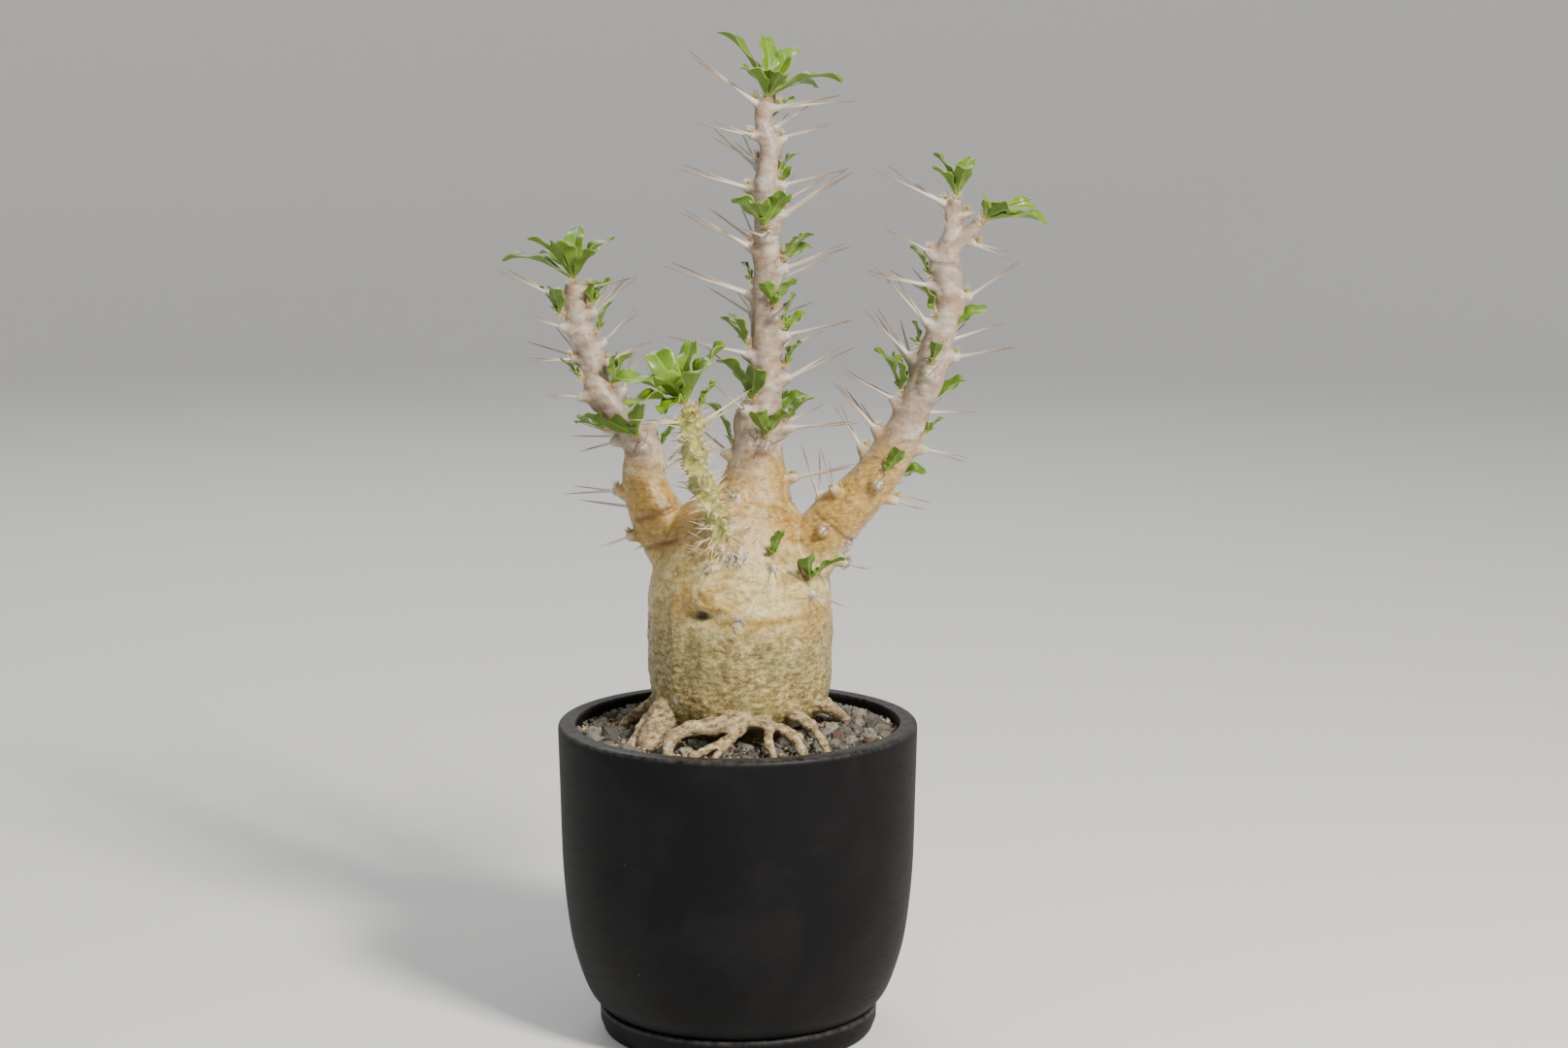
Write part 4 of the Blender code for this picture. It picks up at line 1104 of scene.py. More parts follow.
# %% Strewing things over the skin
def strew_recipe(name, finish, mark, shape, **sizes):
    recipe = Recipe(name, Seed=SEED, **sizes)
    seed = recipe.given("Seed")
    points = recipe.node("GeometryNodeDistributePointsOnFaces", {"distribute_method": "POISSON"}, {
        "Mesh": recipe.given(), "Distance Min": recipe.given("Apart"), "Density Max": recipe.given("Density"),
        "Density Factor": recipe.named(mark), "Seed": seed})
    spin = recipe.node("FunctionNodeAxisAngleToRotation",
                       inputs={"Axis": (0.0, 0.0, 1.0), "Angle": recipe.random(0.0, math.tau, seed + 1)})
    lean = recipe.node("FunctionNodeAxisAngleToRotation", inputs={
        "Axis": (0.0, 1.0, 0.0), "Angle": recipe.random(0.0, 1.0, seed + 2) * recipe.given("Lean")})
    turn = recipe.node("FunctionNodeRotateRotation", {"rotation_space": "LOCAL"}, {0: points.other("Rotation"), 1: spin})
    turn = recipe.node("FunctionNodeRotateRotation", {"rotation_space": "LOCAL"}, {0: turn, 1: lean})
    size = recipe.random(recipe.given("Smallest"), recipe.given("Largest"), seed + 3)
    copies = recipe.node("GeometryNodeInstanceOnPoints", inputs={
        "Points": points, "Instance": shape(recipe), "Rotation": turn, "Scale": size})
    recipe.finish(copies, finish)
    return recipe


def wart(recipe):
    ball = recipe.node("GeometryNodeMeshIcoSphere", inputs={"Radius": 1.0, "Subdivisions": 1})
    return recipe.node("GeometryNodeTransform", inputs={"Geometry": ball, "Scale": (1.0, 1.0, 0.75)})


def scrap(recipe):
    """A thin plate, pointed at one end and bent upwards along its length."""
    plate = recipe.node("GeometryNodeMeshCube", inputs={
        "Size": (2.0, 0.6, 0.09), "Vertices X": 6, "Vertices Y": 3, "Vertices Z": 2})
    place = recipe.node("ShaderNodeSeparateXYZ", inputs={0: recipe.node("GeometryNodeInputPosition")})
    x, y, z = place, place.other("Y"), place.other("Z")
    bent = recipe.vector(x, y * (0.62 - 0.38 * x), z + 0.35 * x * x + 0.25 * x + 0.5 * y * y)
    return recipe.node("GeometryNodeSetPosition", inputs={"Geometry": plate, "Position": bent})


def strew(name, recipe):
    source = bpy.data.objects.new(name, wood.data.copy())
    bpy.context.scene.collection.objects.link(source)
    made = recipe.cook(source, name)
    made.data.shade_smooth()
    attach(made, "root")
    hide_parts("woody_body")
    return len(made.data.polygons)


def wart_paint():
    paint = Paint("wart", Specular_IOR_Level=0.5, Roughness=0.32)
    tone = paint.noise(300, 2, 0.5)
    return paint.coat(Base_Color=paint.ramp(tone, (0.35, (0.38, 0.27, 0.11)), (0.6, (0.58, 0.49, 0.30))))


def scrap_paint():
    paint = Paint("scrap", Specular_IOR_Level=0.3, Roughness=0.8)
    tone = paint.noise(900, 4, 0.65)
    return paint.coat(Base_Color=paint.ramp(tone, (0.32, (0.13, 0.10, 0.065)), (0.52, (0.37, 0.32, 0.25)),
                                            (0.68, (0.58, 0.55, 0.49))))


print("warts:", strew("warts", strew_recipe(
    "wart_recipe", wart_paint(), "wart", wart, Apart=1.5 * MM, Density=110000.0, Smallest=0.26 * MM,
    Largest=0.52 * MM, Lean=0.0)), "faces")
print("scraps:", strew("scraps", strew_recipe(
    "scrap_recipe", scrap_paint(), "peel", scrap, Apart=1.5 * MM, Density=260000.0, Smallest=0.8 * MM,
    Largest=2.0 * MM, Lean=-0.5)), "faces")

# %% [markdown]
# One thing at the right front of the base grew once only: the brown stump of a leaf stalk that dried and stayed.


# %% The dried stalk
def make_dry_stalk():
    path = ((29.0, -25.0, 195.8, 0.7), (27.4, -28.6, 198.6, 0.9), (25.6, -31.0, 201.8, 0.7), (24.8, -32.2, 204.6, 0.3))
    made = tubes("dry_stalk", [smooth(path)], 5)
    sew(made.data)
    made.data.materials.clear()
    paint = Paint("dry_stalk", Roughness=0.8, Specular_IOR_Level=0.25)
    tone = paint.noise(800, 4, 0.65, paint.stretched(1, 1, 0.3))
    made.data.materials.append(paint.coat(
        Base_Color=paint.ramp(tone, (0.35, (0.035, 0.016, 0.008)), (0.65, (0.16, 0.085, 0.04))),
        Normal=paint.bump(tone, 0.5)))
    made.data.shade_smooth()
    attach(made, "root")
    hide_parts("woody_body")
    return len(made.data.polygons)


print("dried stalk:", make_dry_stalk(), "faces")

# %% [markdown]
# ## Leaves
#
# A leaf here is a narrow stalk that widens to a round end, with waved edges and a tip that bends back. One formula
# gives every point of it from two shares, along and across. The solids use it with four rows of faces; here it gets
# many, plus a groove along the midrib and a finer ripple at the edges.
#
# Leaves must not run through stems, spines or one another. Each is tried at the place it is meant for, and if it
# would cross something it is turned, tilted or shortened until it doesn't. The tests are the ones that placed the
# solid leaves, in the same order, so each fine leaf lands where its solid is.


# %% The leaf's formula
def blade_width(share):
    """Half width as a share of the widest: a narrow stalk, widest past the middle, a round end."""
    if share < 0.62:
        rise = share / 0.62
        return 0.2 + 0.8 * rise * rise * (3 - 2 * rise)
    return math.sqrt(max(1 - ((share - 0.62) / 0.41) ** 2, 0.0))


def blade_point(share, across, length, width, arch, phase, ruffle=0.16):
    """A point of the waved blade: the stalk starts at the origin and runs along +Y, and +Z faces the stem."""
    steps = 12
    y = z = 0.0
    for i in range(steps):
        angle = arch * (share * (i + 0.5) / steps) ** CURL
        y += math.cos(angle) * length * share / steps
        z -= math.sin(angle) * length * share / steps
    angle = arch * share ** CURL
    half = 0.5 * width * blade_width(share)
    wave = math.sin(2 * math.pi * (2.3 * share + phase) + (0.9 if across > 0 else 0.0))
    lift = abs(across) * (0.34 * half + ruffle * width * wave * min(1.0, 2.2 * share))
    return Vector((across * half, y + math.sin(angle) * lift, z + math.cos(angle) * lift))


def facing(aim, towards):
    """The turn that lays a blade along aim with its upper face to towards."""
    normal = (towards - aim * towards.dot(aim)).normalized()
    side = aim.cross(normal)
    return Matrix((side, aim, normal)).transposed().to_4x4()


# %% Keeping leaves clear
TRIES = ((0, 0, 1), (18, 0, 1), (-18, 0, 1), (0, 14, 1), (34, 8, 0.95), (-34, 8, 0.95), (0, -14, 0.9),
         (24, -12, 0.85), (-24, -12, 0.85), (50, 10, 0.8), (-50, 10, 0.8), (0, 0, 0.7), (30, 0, 0.65),
         (-30, 0, 0.65))


def gap_to_line(spot, start, end):
    way = end - start
    share = min(max((spot - start).dot(way) / way.length_squared, 0.0), 1.0)
    return (spot - start - way * share).length, share


def is_clear(turn, origin, leaf, blocks, own):
    """True where the blade stays off every spine, stem and leaf that is not of its own tuft."""
    length, width, arch, phase = leaf
    close = [block for block in blocks
             if block[4] != own and gap_to_line(origin, *block[:2])[0] < length + 2 + max(block[2:4])]
    thin = [block for block in close if block[2] < SPINE_ROOM + 0.1]
    for share in (0.1, 0.2, 0.3, 0.42, 0.54, 0.66, 0.78, 0.9, 1.0):
        for across in (-1, -0.5, 0, 0.5, 1):
            spot = origin + turn @ blade_point(share, across, length, width, arch, phase)
            for start, end, near_start, near_end, _ in thin if share < 0.25 else close:
                gap, along = gap_to_line(spot, start, end)
                if gap < near_start + (near_end - near_start) * along:
                    return False
    return True


def stem_blocks():
    """Lines that leaves keep off: (start, end, distance at the start, distance at the end, tuft)."""
    blocks = []
    for stem, axis in AXIS.items():
        room = BASE_ROOM if stem == "caudex" else STEM_ROOM
        for low, high in zip(axis.points, axis.points[1:]):
            if (high - low).to_3d().length > 1e-6:
                blocks.append((low.to_3d(), high.to_3d(), low.w + room, high.w + room, None))
    for pair in all_rows:
        path = tubercle(*pair[:3])
        blocks.append((Vector(path[1][:3]), Vector(path[3][:3]), path[1][3] + 1.0, 2.6, None))
    for root, tip in spines:
        blocks.append((root, tip, SPINE_ROOM, 0.8 * SPINE_ROOM, None))
    return blocks


def fit_leaf(origin, axis, side, wanted, towards, leaf, blocks, own):
    """Turns, tilts and at last shortens a leaf until it crosses nothing; None where it never fits."""
    turn, tilt = wanted
    length, width, arch, phase = leaf
    for more_turn, more_tilt, size in TRIES:
        swing = Matrix.Rotation(math.radians(turn + more_turn), 3, axis)
        lean = math.radians(tilt + more_tilt)
        aim = (axis * math.cos(lean) + (swing @ side) * math.sin(lean)).normalized()
        place = facing(aim, towards or axis)
        tried = (length * size, width * size, arch, phase)
        if is_clear(place.to_3x3(), origin, tried, blocks, own):
            return place, tried
    return None


# %% Where the tufts go
def fan(count):
    """Turn and tilt of the leaves in a small side tuft."""
    return {1: ((0, 6),), 2: ((64, 30), (-70, 34)), 3: ((82, 40), (-82, 42), (0, 22))}[count]


def side_tuft(pair, rng):
    """Seat, axis and leaves of the tuft in the angle over a spine pair."""
    stem, height, turn, _, count, size = pair
    lift, lean = (5.2, 24) if stem == "caudex" else (4.2, 0)
    centre, radius, up, out = AXIS[stem].outward(height + lift, turn)
    tilt = math.radians(rng.uniform(50, 64) - lean)
    axis = (out * math.cos(tilt) + up * math.sin(tilt) + Vector((0, 0, 0.25))).normalized()
    towards = (up - out * 0.7).normalized()
    side = (out - axis * out.dot(axis)).normalized()
    leaves = []
    for leaf_turn, leaf_tilt in fan(count):
        length = size * rng.uniform(0.86, 1.1)
        width = length * rng.uniform(0.34, 0.42)
        leaves.append(((leaf_turn + rng.uniform(-14, 14), leaf_tilt + rng.uniform(-6, 6)),
                       (length, width, math.radians(rng.uniform(40, 85)), rng.random())))
    return centre, radius, out, axis, side, towards, leaves


def end_tuft(stem, rng):
    """Seat, axis and leaves of the tuft that ends a stem."""
    top = AXIS[stem].points[-1]
    centre, _, up, right, _ = AXIS[stem].at(top.z - 0.5)
    leaves = []
    for turn, tilt, length, width in CROWNS[stem]:
        leaves.append(((turn, tilt), (length, width, math.radians(rng.uniform(45, 85)), rng.random())))
    return centre, 0.0, up, up, right, None, leaves


def all_tufts():
    """(name, origin, [(place, leaf)]) of every tuft, the stem ends first, because they have the least room."""
    shape = bmesh.new()
    shape.from_mesh(frame["nodes"]["woody_body"].data)
    surface = BVHTree.FromBMesh(shape)
    shape.free()
    blocks = stem_blocks()
    rng = random.Random(SEED + 2)
    plans = [(f"leaves_{stem}_top", end_tuft(stem, rng)) for stem in CROWNS]
    numbers = {}
    for pair in all_rows:
        if pair[4]:
            numbers[pair[0]] = numbers.get(pair[0], 0) + 1
            plans.append((f"leaves_{pair[0]}_{numbers[pair[0]]:02d}", side_tuft(pair, rng)))
    tufts = []
    for name, (centre, radius, out, axis, side, towards, leaves) in plans:
        seat = surface.ray_cast((centre + out * (radius + 14)) * MM, -out)[0] / MM
        origin = seat + out * (SEAT + (LONE_LIFT if len(leaves) == 1 else BUD_RADIUS))
        kept = []
        for wanted, leaf in leaves:
            found = fit_leaf(origin, axis, side, wanted, towards, leaf, blocks, name)
            if found:
                place, leaf = found
                kept.append((place, leaf))
                spots = [origin + place.to_3x3() @ blade_point(s, 0, *leaf) for s in (0.2, 0.6, 1.0)]
                room = leaf[1] * 0.5 + 1.2
                blocks.append((spots[0], spots[1], room, room, name))
                blocks.append((spots[1], spots[2], room, room, name))
        if kept:
            tufts.append((name, origin, out, kept))
    return tufts


tufts = all_tufts()
missing = sorted(set(n for n in frame["nodes"] if n.startswith("leaves")) ^ set(name for name, *_ in tufts))
print(len(tufts), "tufts with", sum(len(kept) for *_, kept in tufts), "leaves; unmatched:", missing)

# %% [markdown]
# ## Bristles
#
# Right above each knob, in the angle with the stem, sits a small cushion of golden bristles, and new leaves come out
# of it. The same kind of recipe as for the spines makes them, with one step more: every point is first doubled many
# times, and each double leans its own way.


# %% Bristles by recipe
def bristle_paint():
    paint = Paint("bristle", Roughness=0.6)
    along = paint.mark("along")
    colour = paint.ramp(along, (0.0, (0.42, 0.27, 0.09)), (0.45, (0.66, 0.51, 0.24)), (1.0, (0.80, 0.72, 0.50)))
    return paint.coat(Base_Color=colour)


def bristle_recipe(finish):
    recipe = Recipe("bristle_recipe", Amount=60, Seed=SEED, Spread=1.25, Thick=0.15 * MM)
    many = recipe.node("GeometryNodeDuplicateElements", {"domain": "POINT"},
                       {"Geometry": recipe.given(), "Amount": recipe.given("Amount")})
    line = recipe.node("GeometryNodeCurvePrimitiveLine", inputs={"End": (0.0, 0.0, 1.0)})
    along = recipe.node("GeometryNodeSplineParameter")
    line = recipe.node("GeometryNodeStoreNamedAttribute", {"domain": "POINT"},
                       {"Geometry": line, "Name": "along", "Value": along})
    ring = recipe.node("GeometryNodeCurvePrimitiveCircle", inputs={"Resolution": 3, "Radius": 1.0})
    width = recipe.given("Thick") * (1.1 - along)
    hair = recipe.node("GeometryNodeCurveToMesh", inputs={"Curve": line, "Profile Curve": ring, "Scale": width,
                                                          "Fill Caps": True})
    seed = recipe.given("Seed")
    lean = recipe.random((-1.0, -1.0, -1.0), (1.0, 1.0, 1.0), seed, "FLOAT_VECTOR")
    lean = recipe.node("ShaderNodeVectorMath", {"operation": "SCALE"}, {0: lean, "Scale": recipe.given("Spread")})
    aim = recipe.node("ShaderNodeVectorMath", {"operation": "ADD"}, {0: recipe.named("aim", "FLOAT_VECTOR"), 1: lean})
    turn = recipe.node("FunctionNodeAlignRotationToVector", {"axis": "Z"}, {"Vector": aim})
    long = recipe.named("long") * recipe.random(0.55, 1.15, seed + 1)
    jitter = recipe.random((-0.8 * MM,) * 3, (0.8 * MM,) * 3, seed + 2, "FLOAT_VECTOR")
    many = recipe.node("GeometryNodeSetPosition", inputs={"Geometry": many, "Offset": jitter})
    copies = recipe.node("GeometryNodeInstanceOnPoints", inputs={
        "Points": many, "Instance": hair, "Rotation": turn, "Scale": recipe.vector(1.0, 1.0, long)})
    recipe.finish(copies, finish)
    return recipe


def make_bristles():
    spots, aims, longs = [], [], []
    for stem, height, turn, length, leaves, _ in all_rows:
        if not leaves:
            centre, radius, up, out = AXIS[stem].outward(height, turn)
            stand, _ = tubercle_size(stem, radius)
            rise = 0.9 if stem in ("young", "caudex") else 1.7
            spots.append(centre + out * (radius + stand * 0.42) + up * rise)
            aims.append((out * 0.9 + up * 0.6).normalized())
            longs.append(2.7 * MM)
    for name, origin, out, kept in tufts:
        spots += [origin - out * 2.0, origin - out * 1.6]
        aims += [(out + Vector((0, 0, 0.3))).normalized()] * 2
        longs += [4.4 * MM, 3.6 * MM]
    cloud = point_cloud("bristles", spots, aim=aims, long=longs)
    made = bristle_recipe(bristle_paint()).cook(cloud, "bristles")
    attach(made, "root")
    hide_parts("woody_body")
    return made


print("bristles:", len(make_bristles().data.polygons), "faces")

# %% [markdown]
# A leaf is thin, but not a sheet: it has an upper face, a paler under face and an edge that catches light. So both
# faces are laid out from the formula, a little apart, and joined along the edge. Each corner keeps how far along and
# across it lies, which face it is on and a number for the whole leaf, so that no two leaves are painted alike.

# %% Fine blades
ROWS = 22
COLUMNS = 10
BLADE_THICKNESS = 0.42
EASE = 0.72
LIFT = 12.0
WIDEN = 1.24
RUFFLE = 0.10
BASE_LEAVES = (26.0, 0.6, 0.85)


def fine_point(share, across, leaf):
    """The plain blade's point with a midrib groove and a ripple at the edge."""
    width, phase = leaf[1], leaf[3]
    spot = blade_point(share, across, *leaf)
    ripple = math.sin(2 * math.pi * (5.5 * share + 2.7 * phase) + (2.1 if across > 0 else 0.0))
    edge = abs(across) ** 2.5
    spot.z += 0.022 * width * ripple * edge * min(1.0, 3 * share) * (1 - 0.4 * share)
    spot.z -= 0.035 * width * math.exp(-(across / 0.13) ** 2) * math.sin(math.pi * min(share * 1.1, 1.0))
    return spot


def posed(name, place, leaf):
    """The blade as it is drawn: on its solid's seat, a little wider, straighter and more upright."""
    length, width, arch, phase = leaf
    lift, ease, slim = BASE_LEAVES if name.startswith("leaves_caudex") else (LIFT, EASE, 1.0)
    if name.endswith("top"):
        lift, ease = (24.0, 0.8) if "side" in name else (0.0, 0.85)
    ruffle = 0.14 if "young" in name else RUFFLE
    shape = (length, width * slim * WIDEN, arch * ease, phase, ruffle)
    return place @ Matrix.Rotation(math.radians(lift), 4, "X"), shape


def smooth_across(across):
    """Takes the kink out of the formula's two halves near the midrib."""
    return math.copysign(abs(across) ** 1.15, across)


def lay_blade(corners, faces, rows, origin, place, leaf, number):
    """Adds one leaf's corners, faces and named numbers to the lists."""
    start = len(corners)
    turn = place.to_3x3()
    stalk = turn @ Vector((0, BUD_RADIUS * 0.3, 0))
    grid = []
    for i in range(ROWS + 1):
        share = 0.5 - 0.5 * math.cos(math.pi * i / ROWS)
        share = 0.35 * share + 0.65 * i / ROWS
        for j in range(COLUMNS + 1):
            across = 2 * j / COLUMNS - 1
            grid.append((share, across, fine_point(share, smooth_across(across), leaf)))
    line = COLUMNS + 1
    for under in (0, 1):
        for index, (share, across, spot) in enumerate(grid):
            i, j = divmod(index, line)
            along = grid[min(i + 1, ROWS) * line + j][2] - grid[max(i - 1, 0) * line + j][2]
            sideways = grid[i * line + min(j + 1, COLUMNS)][2] - grid[i * line + max(j - 1, 0)][2]
            normal = sideways.cross(along)
            normal = normal.normalized() if normal.length > 1e-9 else Vector((0, 0, 1))
            slim = 0.5 * BLADE_THICKNESS * (1 - 0.55 * abs(across) ** 3) * (1.0 + 0.9 * (1 - share) ** 3)
            slim *= 1.0 + 0.8 * math.exp(-(across / 0.12) ** 2) * (1 - share)
            moved = spot + normal * (slim if under == 0 else -slim)
            corners.append(origin + stalk + turn @ moved)
            rows.append((share, across, under, number))
    count = len(grid)
    top = lambda i, j: start + i * line + j
    for i in range(ROWS):
        for j in range(COLUMNS):
            a, b, c, d = top(i, j), top(i, j + 1), top(i + 1, j + 1), top(i + 1, j)
            faces.append((a, b, c, d))
            faces.append((d + count, c + count, b + count, a + count))
    rim = [(i, 0) for i in range(ROWS)] + [(ROWS, j) for j in range(COLUMNS)]
    rim += [(i, COLUMNS) for i in range(ROWS, 0, -1)] + [(0, j) for j in range(COLUMNS, 0, -1)]
    for (i, j), (k, m) in zip(rim, rim[1:] + rim[:1]):
        a, b = top(i, j), top(k, m)
        faces.append((a, b, b + count, a + count))


# %% Buds and the youngest leaves
def lay_bud(corners, faces, rows, origin, out):
    """The brown cushion that the leaves of a tuft come out of; its foot is in the skin."""
    start = len(corners)
    ball = bmesh.new()
    bmesh.ops.create_icosphere(ball, subdivisions=2, radius=1.25)
    centre = origin - out * 1.5
    corners += [centre + corner.co + out * (0.75 * corner.co.dot(out)) for corner in ball.verts]
    faces += [tuple(start + corner.index for corner in face.verts) for face in ball.faces]
    rows += [(-1.0, 0.5, 1.0, 0.5)] * len(ball.verts)
    ball.free()


def young_blades(name, out, rng):
    """Small upright leaves in the middle of a tuft, as (place, leaf)."""
    count, low, high = (4, 7.0, 12.0) if name.endswith("top") else (2, 3.5, 6.0)
    up = (out * 0.6 + Vector((0, 0, 1))).normalized()
    side = up.orthogonal().normalized()
    made = []
    for i in range(count):
        swing = Matrix.Rotation(math.tau * i / count + rng.uniform(-0.5, 0.5), 3, up)
        lean = rng.uniform(0.12, 0.42)
        aim = (up * math.cos(lean) + (swing @ side) * math.sin(lean)).normalized()
        length = rng.uniform(low, high)
        width = length * rng.uniform(0.34, 0.44)
        made.append((facing(aim, up), (length, width * WIDEN, rng.uniform(0.3, 0.8), rng.random(), RUFFLE)))
    return made


# %% [markdown]
# Fresh leaves are brightest at the stem tips and on the young shoot. The upper face is a glossy yellow-green with a
# pale midrib and a thin pale rim, and fine side veins show as a faint quilting.


# %% Paint for the leaves
def leaf_paint():
    paint = Paint("leaf_green", Specular_IOR_Level=0.55, Coat_Roughness=0.2, Subsurface_Scale=0.002)
    paint.shader.inputs["Subsurface Weight"].default_value = 0.07
    paint.shader.inputs["Subsurface Radius"].default_value = (0.6, 1.0, 0.15)
    along, across = paint.mark("along"), paint.mark("across")
    under, number, fresh = paint.mark("under"), paint.mark("number"), paint.mark("fresh")
    side = paint.node("ShaderNodeMath", {"operation": "ABSOLUTE"}, {0: across})
    blotch = paint.noise(240, 4, 0.6)
    deep = paint.ramp(blotch, (0.3, (0.019, 0.066, 0.002)), (0.7, (0.046, 0.120, 0.004)))
    bright = paint.ramp(blotch, (0.3, (0.098, 0.200, 0.003)), (0.7, (0.180, 0.305, 0.006)))
    colour = paint.mix(deep, bright, fresh * 0.8 + number * 0.3)
    colour = paint.mix(colour, (0.11, 0.19, 0.022), under * 0.42)
    colour = paint.mix(colour, (0.28, 0.38, 0.05), paint.rise(side, 0.12, 0.03) * 0.6)
    colour = paint.mix(colour, (0.34, 0.42, 0.08), paint.rise(side, 0.90, 0.99) * 0.55)
    colour = paint.mix(colour, (0.33, 0.38, 0.09), paint.rise(along, 0.2, 0.0) * 0.6)
    colour = paint.mix(colour, (0.40, 0.28, 0.11), paint.rise(along, -0.05, -0.6))
    vein = paint.node("ShaderNodeMath", {"operation": "SINE"}, {0: (along - side * 0.22) * 62.0})
    height = paint.rise(vein, -0.9, 0.7) * 0.5 + blotch * 0.3
    rough = 0.36 + under * 0.20 + blotch * 0.12
    gloss = 0.28 - under * 0.22
    return paint.coat(Base_Color=colour, Roughness=rough, Coat_Weight=gloss, Normal=paint.bump(height, 0.07))


# %% One piece of leaves for each stem
def leaf_piece(stem, finish, rng):
    """Every leaf of one stem as one mesh; the solids' names that it stands for come back with it."""
    corners, faces, rows, fresh, names = [], [], [], [], []
    for name, origin, out, kept in tufts:
        if name.split("_")[1] != stem:
            continue
        names.append(name)
        bright = 1.0 if stem == "young" else 0.7 if name.endswith("top") else rng.uniform(0.1, 0.6)
        for place, leaf in kept:
            lay_blade(corners, faces, rows, origin, *posed(name, place, leaf), rng.random())
        fresh += [bright + rng.uniform(-0.1, 0.1)] * (len(rows) - len(fresh))
        for place, leaf in young_blades(name, out, rng):
            lay_blade(corners, faces, rows, origin, place, leaf, rng.random())
        lay_bud(corners, faces, rows, origin, out)
        fresh += [bright + 0.4] * (len(rows) - len(fresh))
    mesh = bpy.data.meshes.new(f"leaves_{stem}")
    mesh.from_pydata([corner * MM for corner in corners], [], faces)
    for k, title in enumerate(("along", "across", "under", "number")):
        keep_mark(mesh, title, [row[k] for row in rows])
    keep_mark(mesh, "fresh", fresh)
    mesh.materials.append(finish)
    mesh.shade_smooth()
    piece = bpy.data.objects.new(f"leaves_{stem}", mesh)
    bpy.context.scene.collection.objects.link(piece)
    return piece, names


def make_leaves():
    finish = leaf_paint()
    rng = random.Random(SEED + 11)
    counts = {}
    for stem in AXES:
        piece, names = leaf_piece(stem, finish, rng)
        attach(piece, "root")
        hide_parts(*names)
        counts[stem] = len(piece.data.polygons)
    return counts


print("leaf faces by stem:", make_leaves())

# %% [markdown]
# ## The soil and its stones
#
# Succulents are potted in grit, here a mix of grey pumice and red-brown lava. The stones lie where the solids have
# them. Between those a recipe scatters small grains, so that the ground reads as loose grit. A stone is an ico sphere
# with its corners pushed about by noise, four times over with other noise, so that neighbours differ.


# %% Where the larger stones lie
def stone_spots(rng):
    """Places on the soil between the roots and the pot, each with its radius, none on another."""
    lines = []
    for path in root_paths():
        points = smooth(path)
        lines += [(a, b) for a, b in zip(points, points[1:]) if a.z < SOIL_HEIGHT + 12]
    limit = RIM_RADIUS - LIP_WIDTH - SEAT - 0.6
    spots = []
    for _ in range(9000):
        radius = rng.uniform(*STONE_RADIUS)
        reach = limit - radius * 1.25 - (limit - 30) * (1 - math.sqrt(rng.random()))
        angle = rng.uniform(0, math.tau)
        spot = Vector((reach * math.cos(angle), reach * math.sin(angle), SOIL_HEIGHT + radius * 0.2))
        apart = all((spot - other).length > 0.78 * (radius + size) for other, size in spots)
        free = all(gap_to_line(spot, a.to_3d(), b.to_3d())[0] > max(a.w, b.w) + radius * 1.3 + 0.7 for a, b in lines)
        if apart and free:
            spots.append((spot, radius))
        if len(spots) == STONE_COUNT:
            break
    return spots


def stone_cloud():
    rng = random.Random(SEED + 3)
    spots, turns, sizes, tints = [], [], [], []
    tint_rng = random.Random(SEED + 12)
    for spot, radius in stone_spots(rng):
        top = rng.uniform(0.5, 0.8)
        depth = rng.uniform(1.0, 1.4) * radius
        wide, deep = rng.uniform(0.9, 1.15), rng.uniform(0.7, 1.0)
        turn = Matrix.Rotation(rng.uniform(0, math.tau), 3, "Z") @ Matrix.Rotation(rng.uniform(-0.5, 0.5), 3, "X")
        spots.append(spot)
        turns.append(turn.to_euler())
        sizes.append((radius * wide * (0.6 + 0.4 * top) * MM, radius * deep * (0.6 + 0.4 * top) * MM, depth * 0.56 * MM))
        tints.append(tint_rng.random())
    return point_cloud("stones", spots, turn=turns, size=sizes, tint=tints)


# %% Stones by recipe
def pick_of_stones(recipe, faces):
    """Four stones to choose from, each a ball that noise has pushed out of round."""
    kinds = recipe.tree.nodes.new("GeometryNodeGeometryToInstance")
    for kind in range(4):
        ball = recipe.node("GeometryNodeMeshIcoSphere", inputs={"Radius": 1.0, "Subdivisions": faces})
        place = recipe.node("GeometryNodeInputPosition")
        lump = recipe.node("ShaderNodeTexNoise", inputs={"Vector": recipe.node(
            "ShaderNodeVectorMath", {"operation": "ADD"}, {0: place, 1: (7.3 * kind, 1.7 * kind, 4.1)}),
            "Scale": 1.5, "Detail": 3.0, "Roughness": 0.6}, output="Color")
        push = recipe.node("ShaderNodeVectorMath", {"operation": "SUBTRACT"}, {0: lump, 1: (0.5, 0.5, 0.5)})
        push = recipe.node("ShaderNodeVectorMath", {"operation": "SCALE"}, {0: push, "Scale": 1.25})
        rock = recipe.node("GeometryNodeSetPosition", inputs={"Geometry": ball, "Offset": push})
        recipe.tree.links.new(rock.socket, kinds.inputs[0])
    return Value(recipe, kinds.outputs[0])


def stone_recipe(finish):
    recipe = Recipe("stone_recipe", Roundness=3)
    turn = recipe.node("FunctionNodeEulerToRotation", inputs={0: recipe.named("turn", "FLOAT_VECTOR")})
    which = recipe.node("FunctionNodeRandomValue", {"data_type": "INT"}, {4: 0, 5: 3, "Seed": SEED}, 2)
    copies = recipe.node("GeometryNodeInstanceOnPoints", inputs={
        "Points": recipe.given(), "Instance": pick_of_stones(recipe, recipe.given("Roundness")),
        "Pick Instance": True, "Instance Index": which, "Rotation": turn,
        "Scale": recipe.named("size", "FLOAT_VECTOR")})
    recipe.finish(copies, finish)
    return recipe


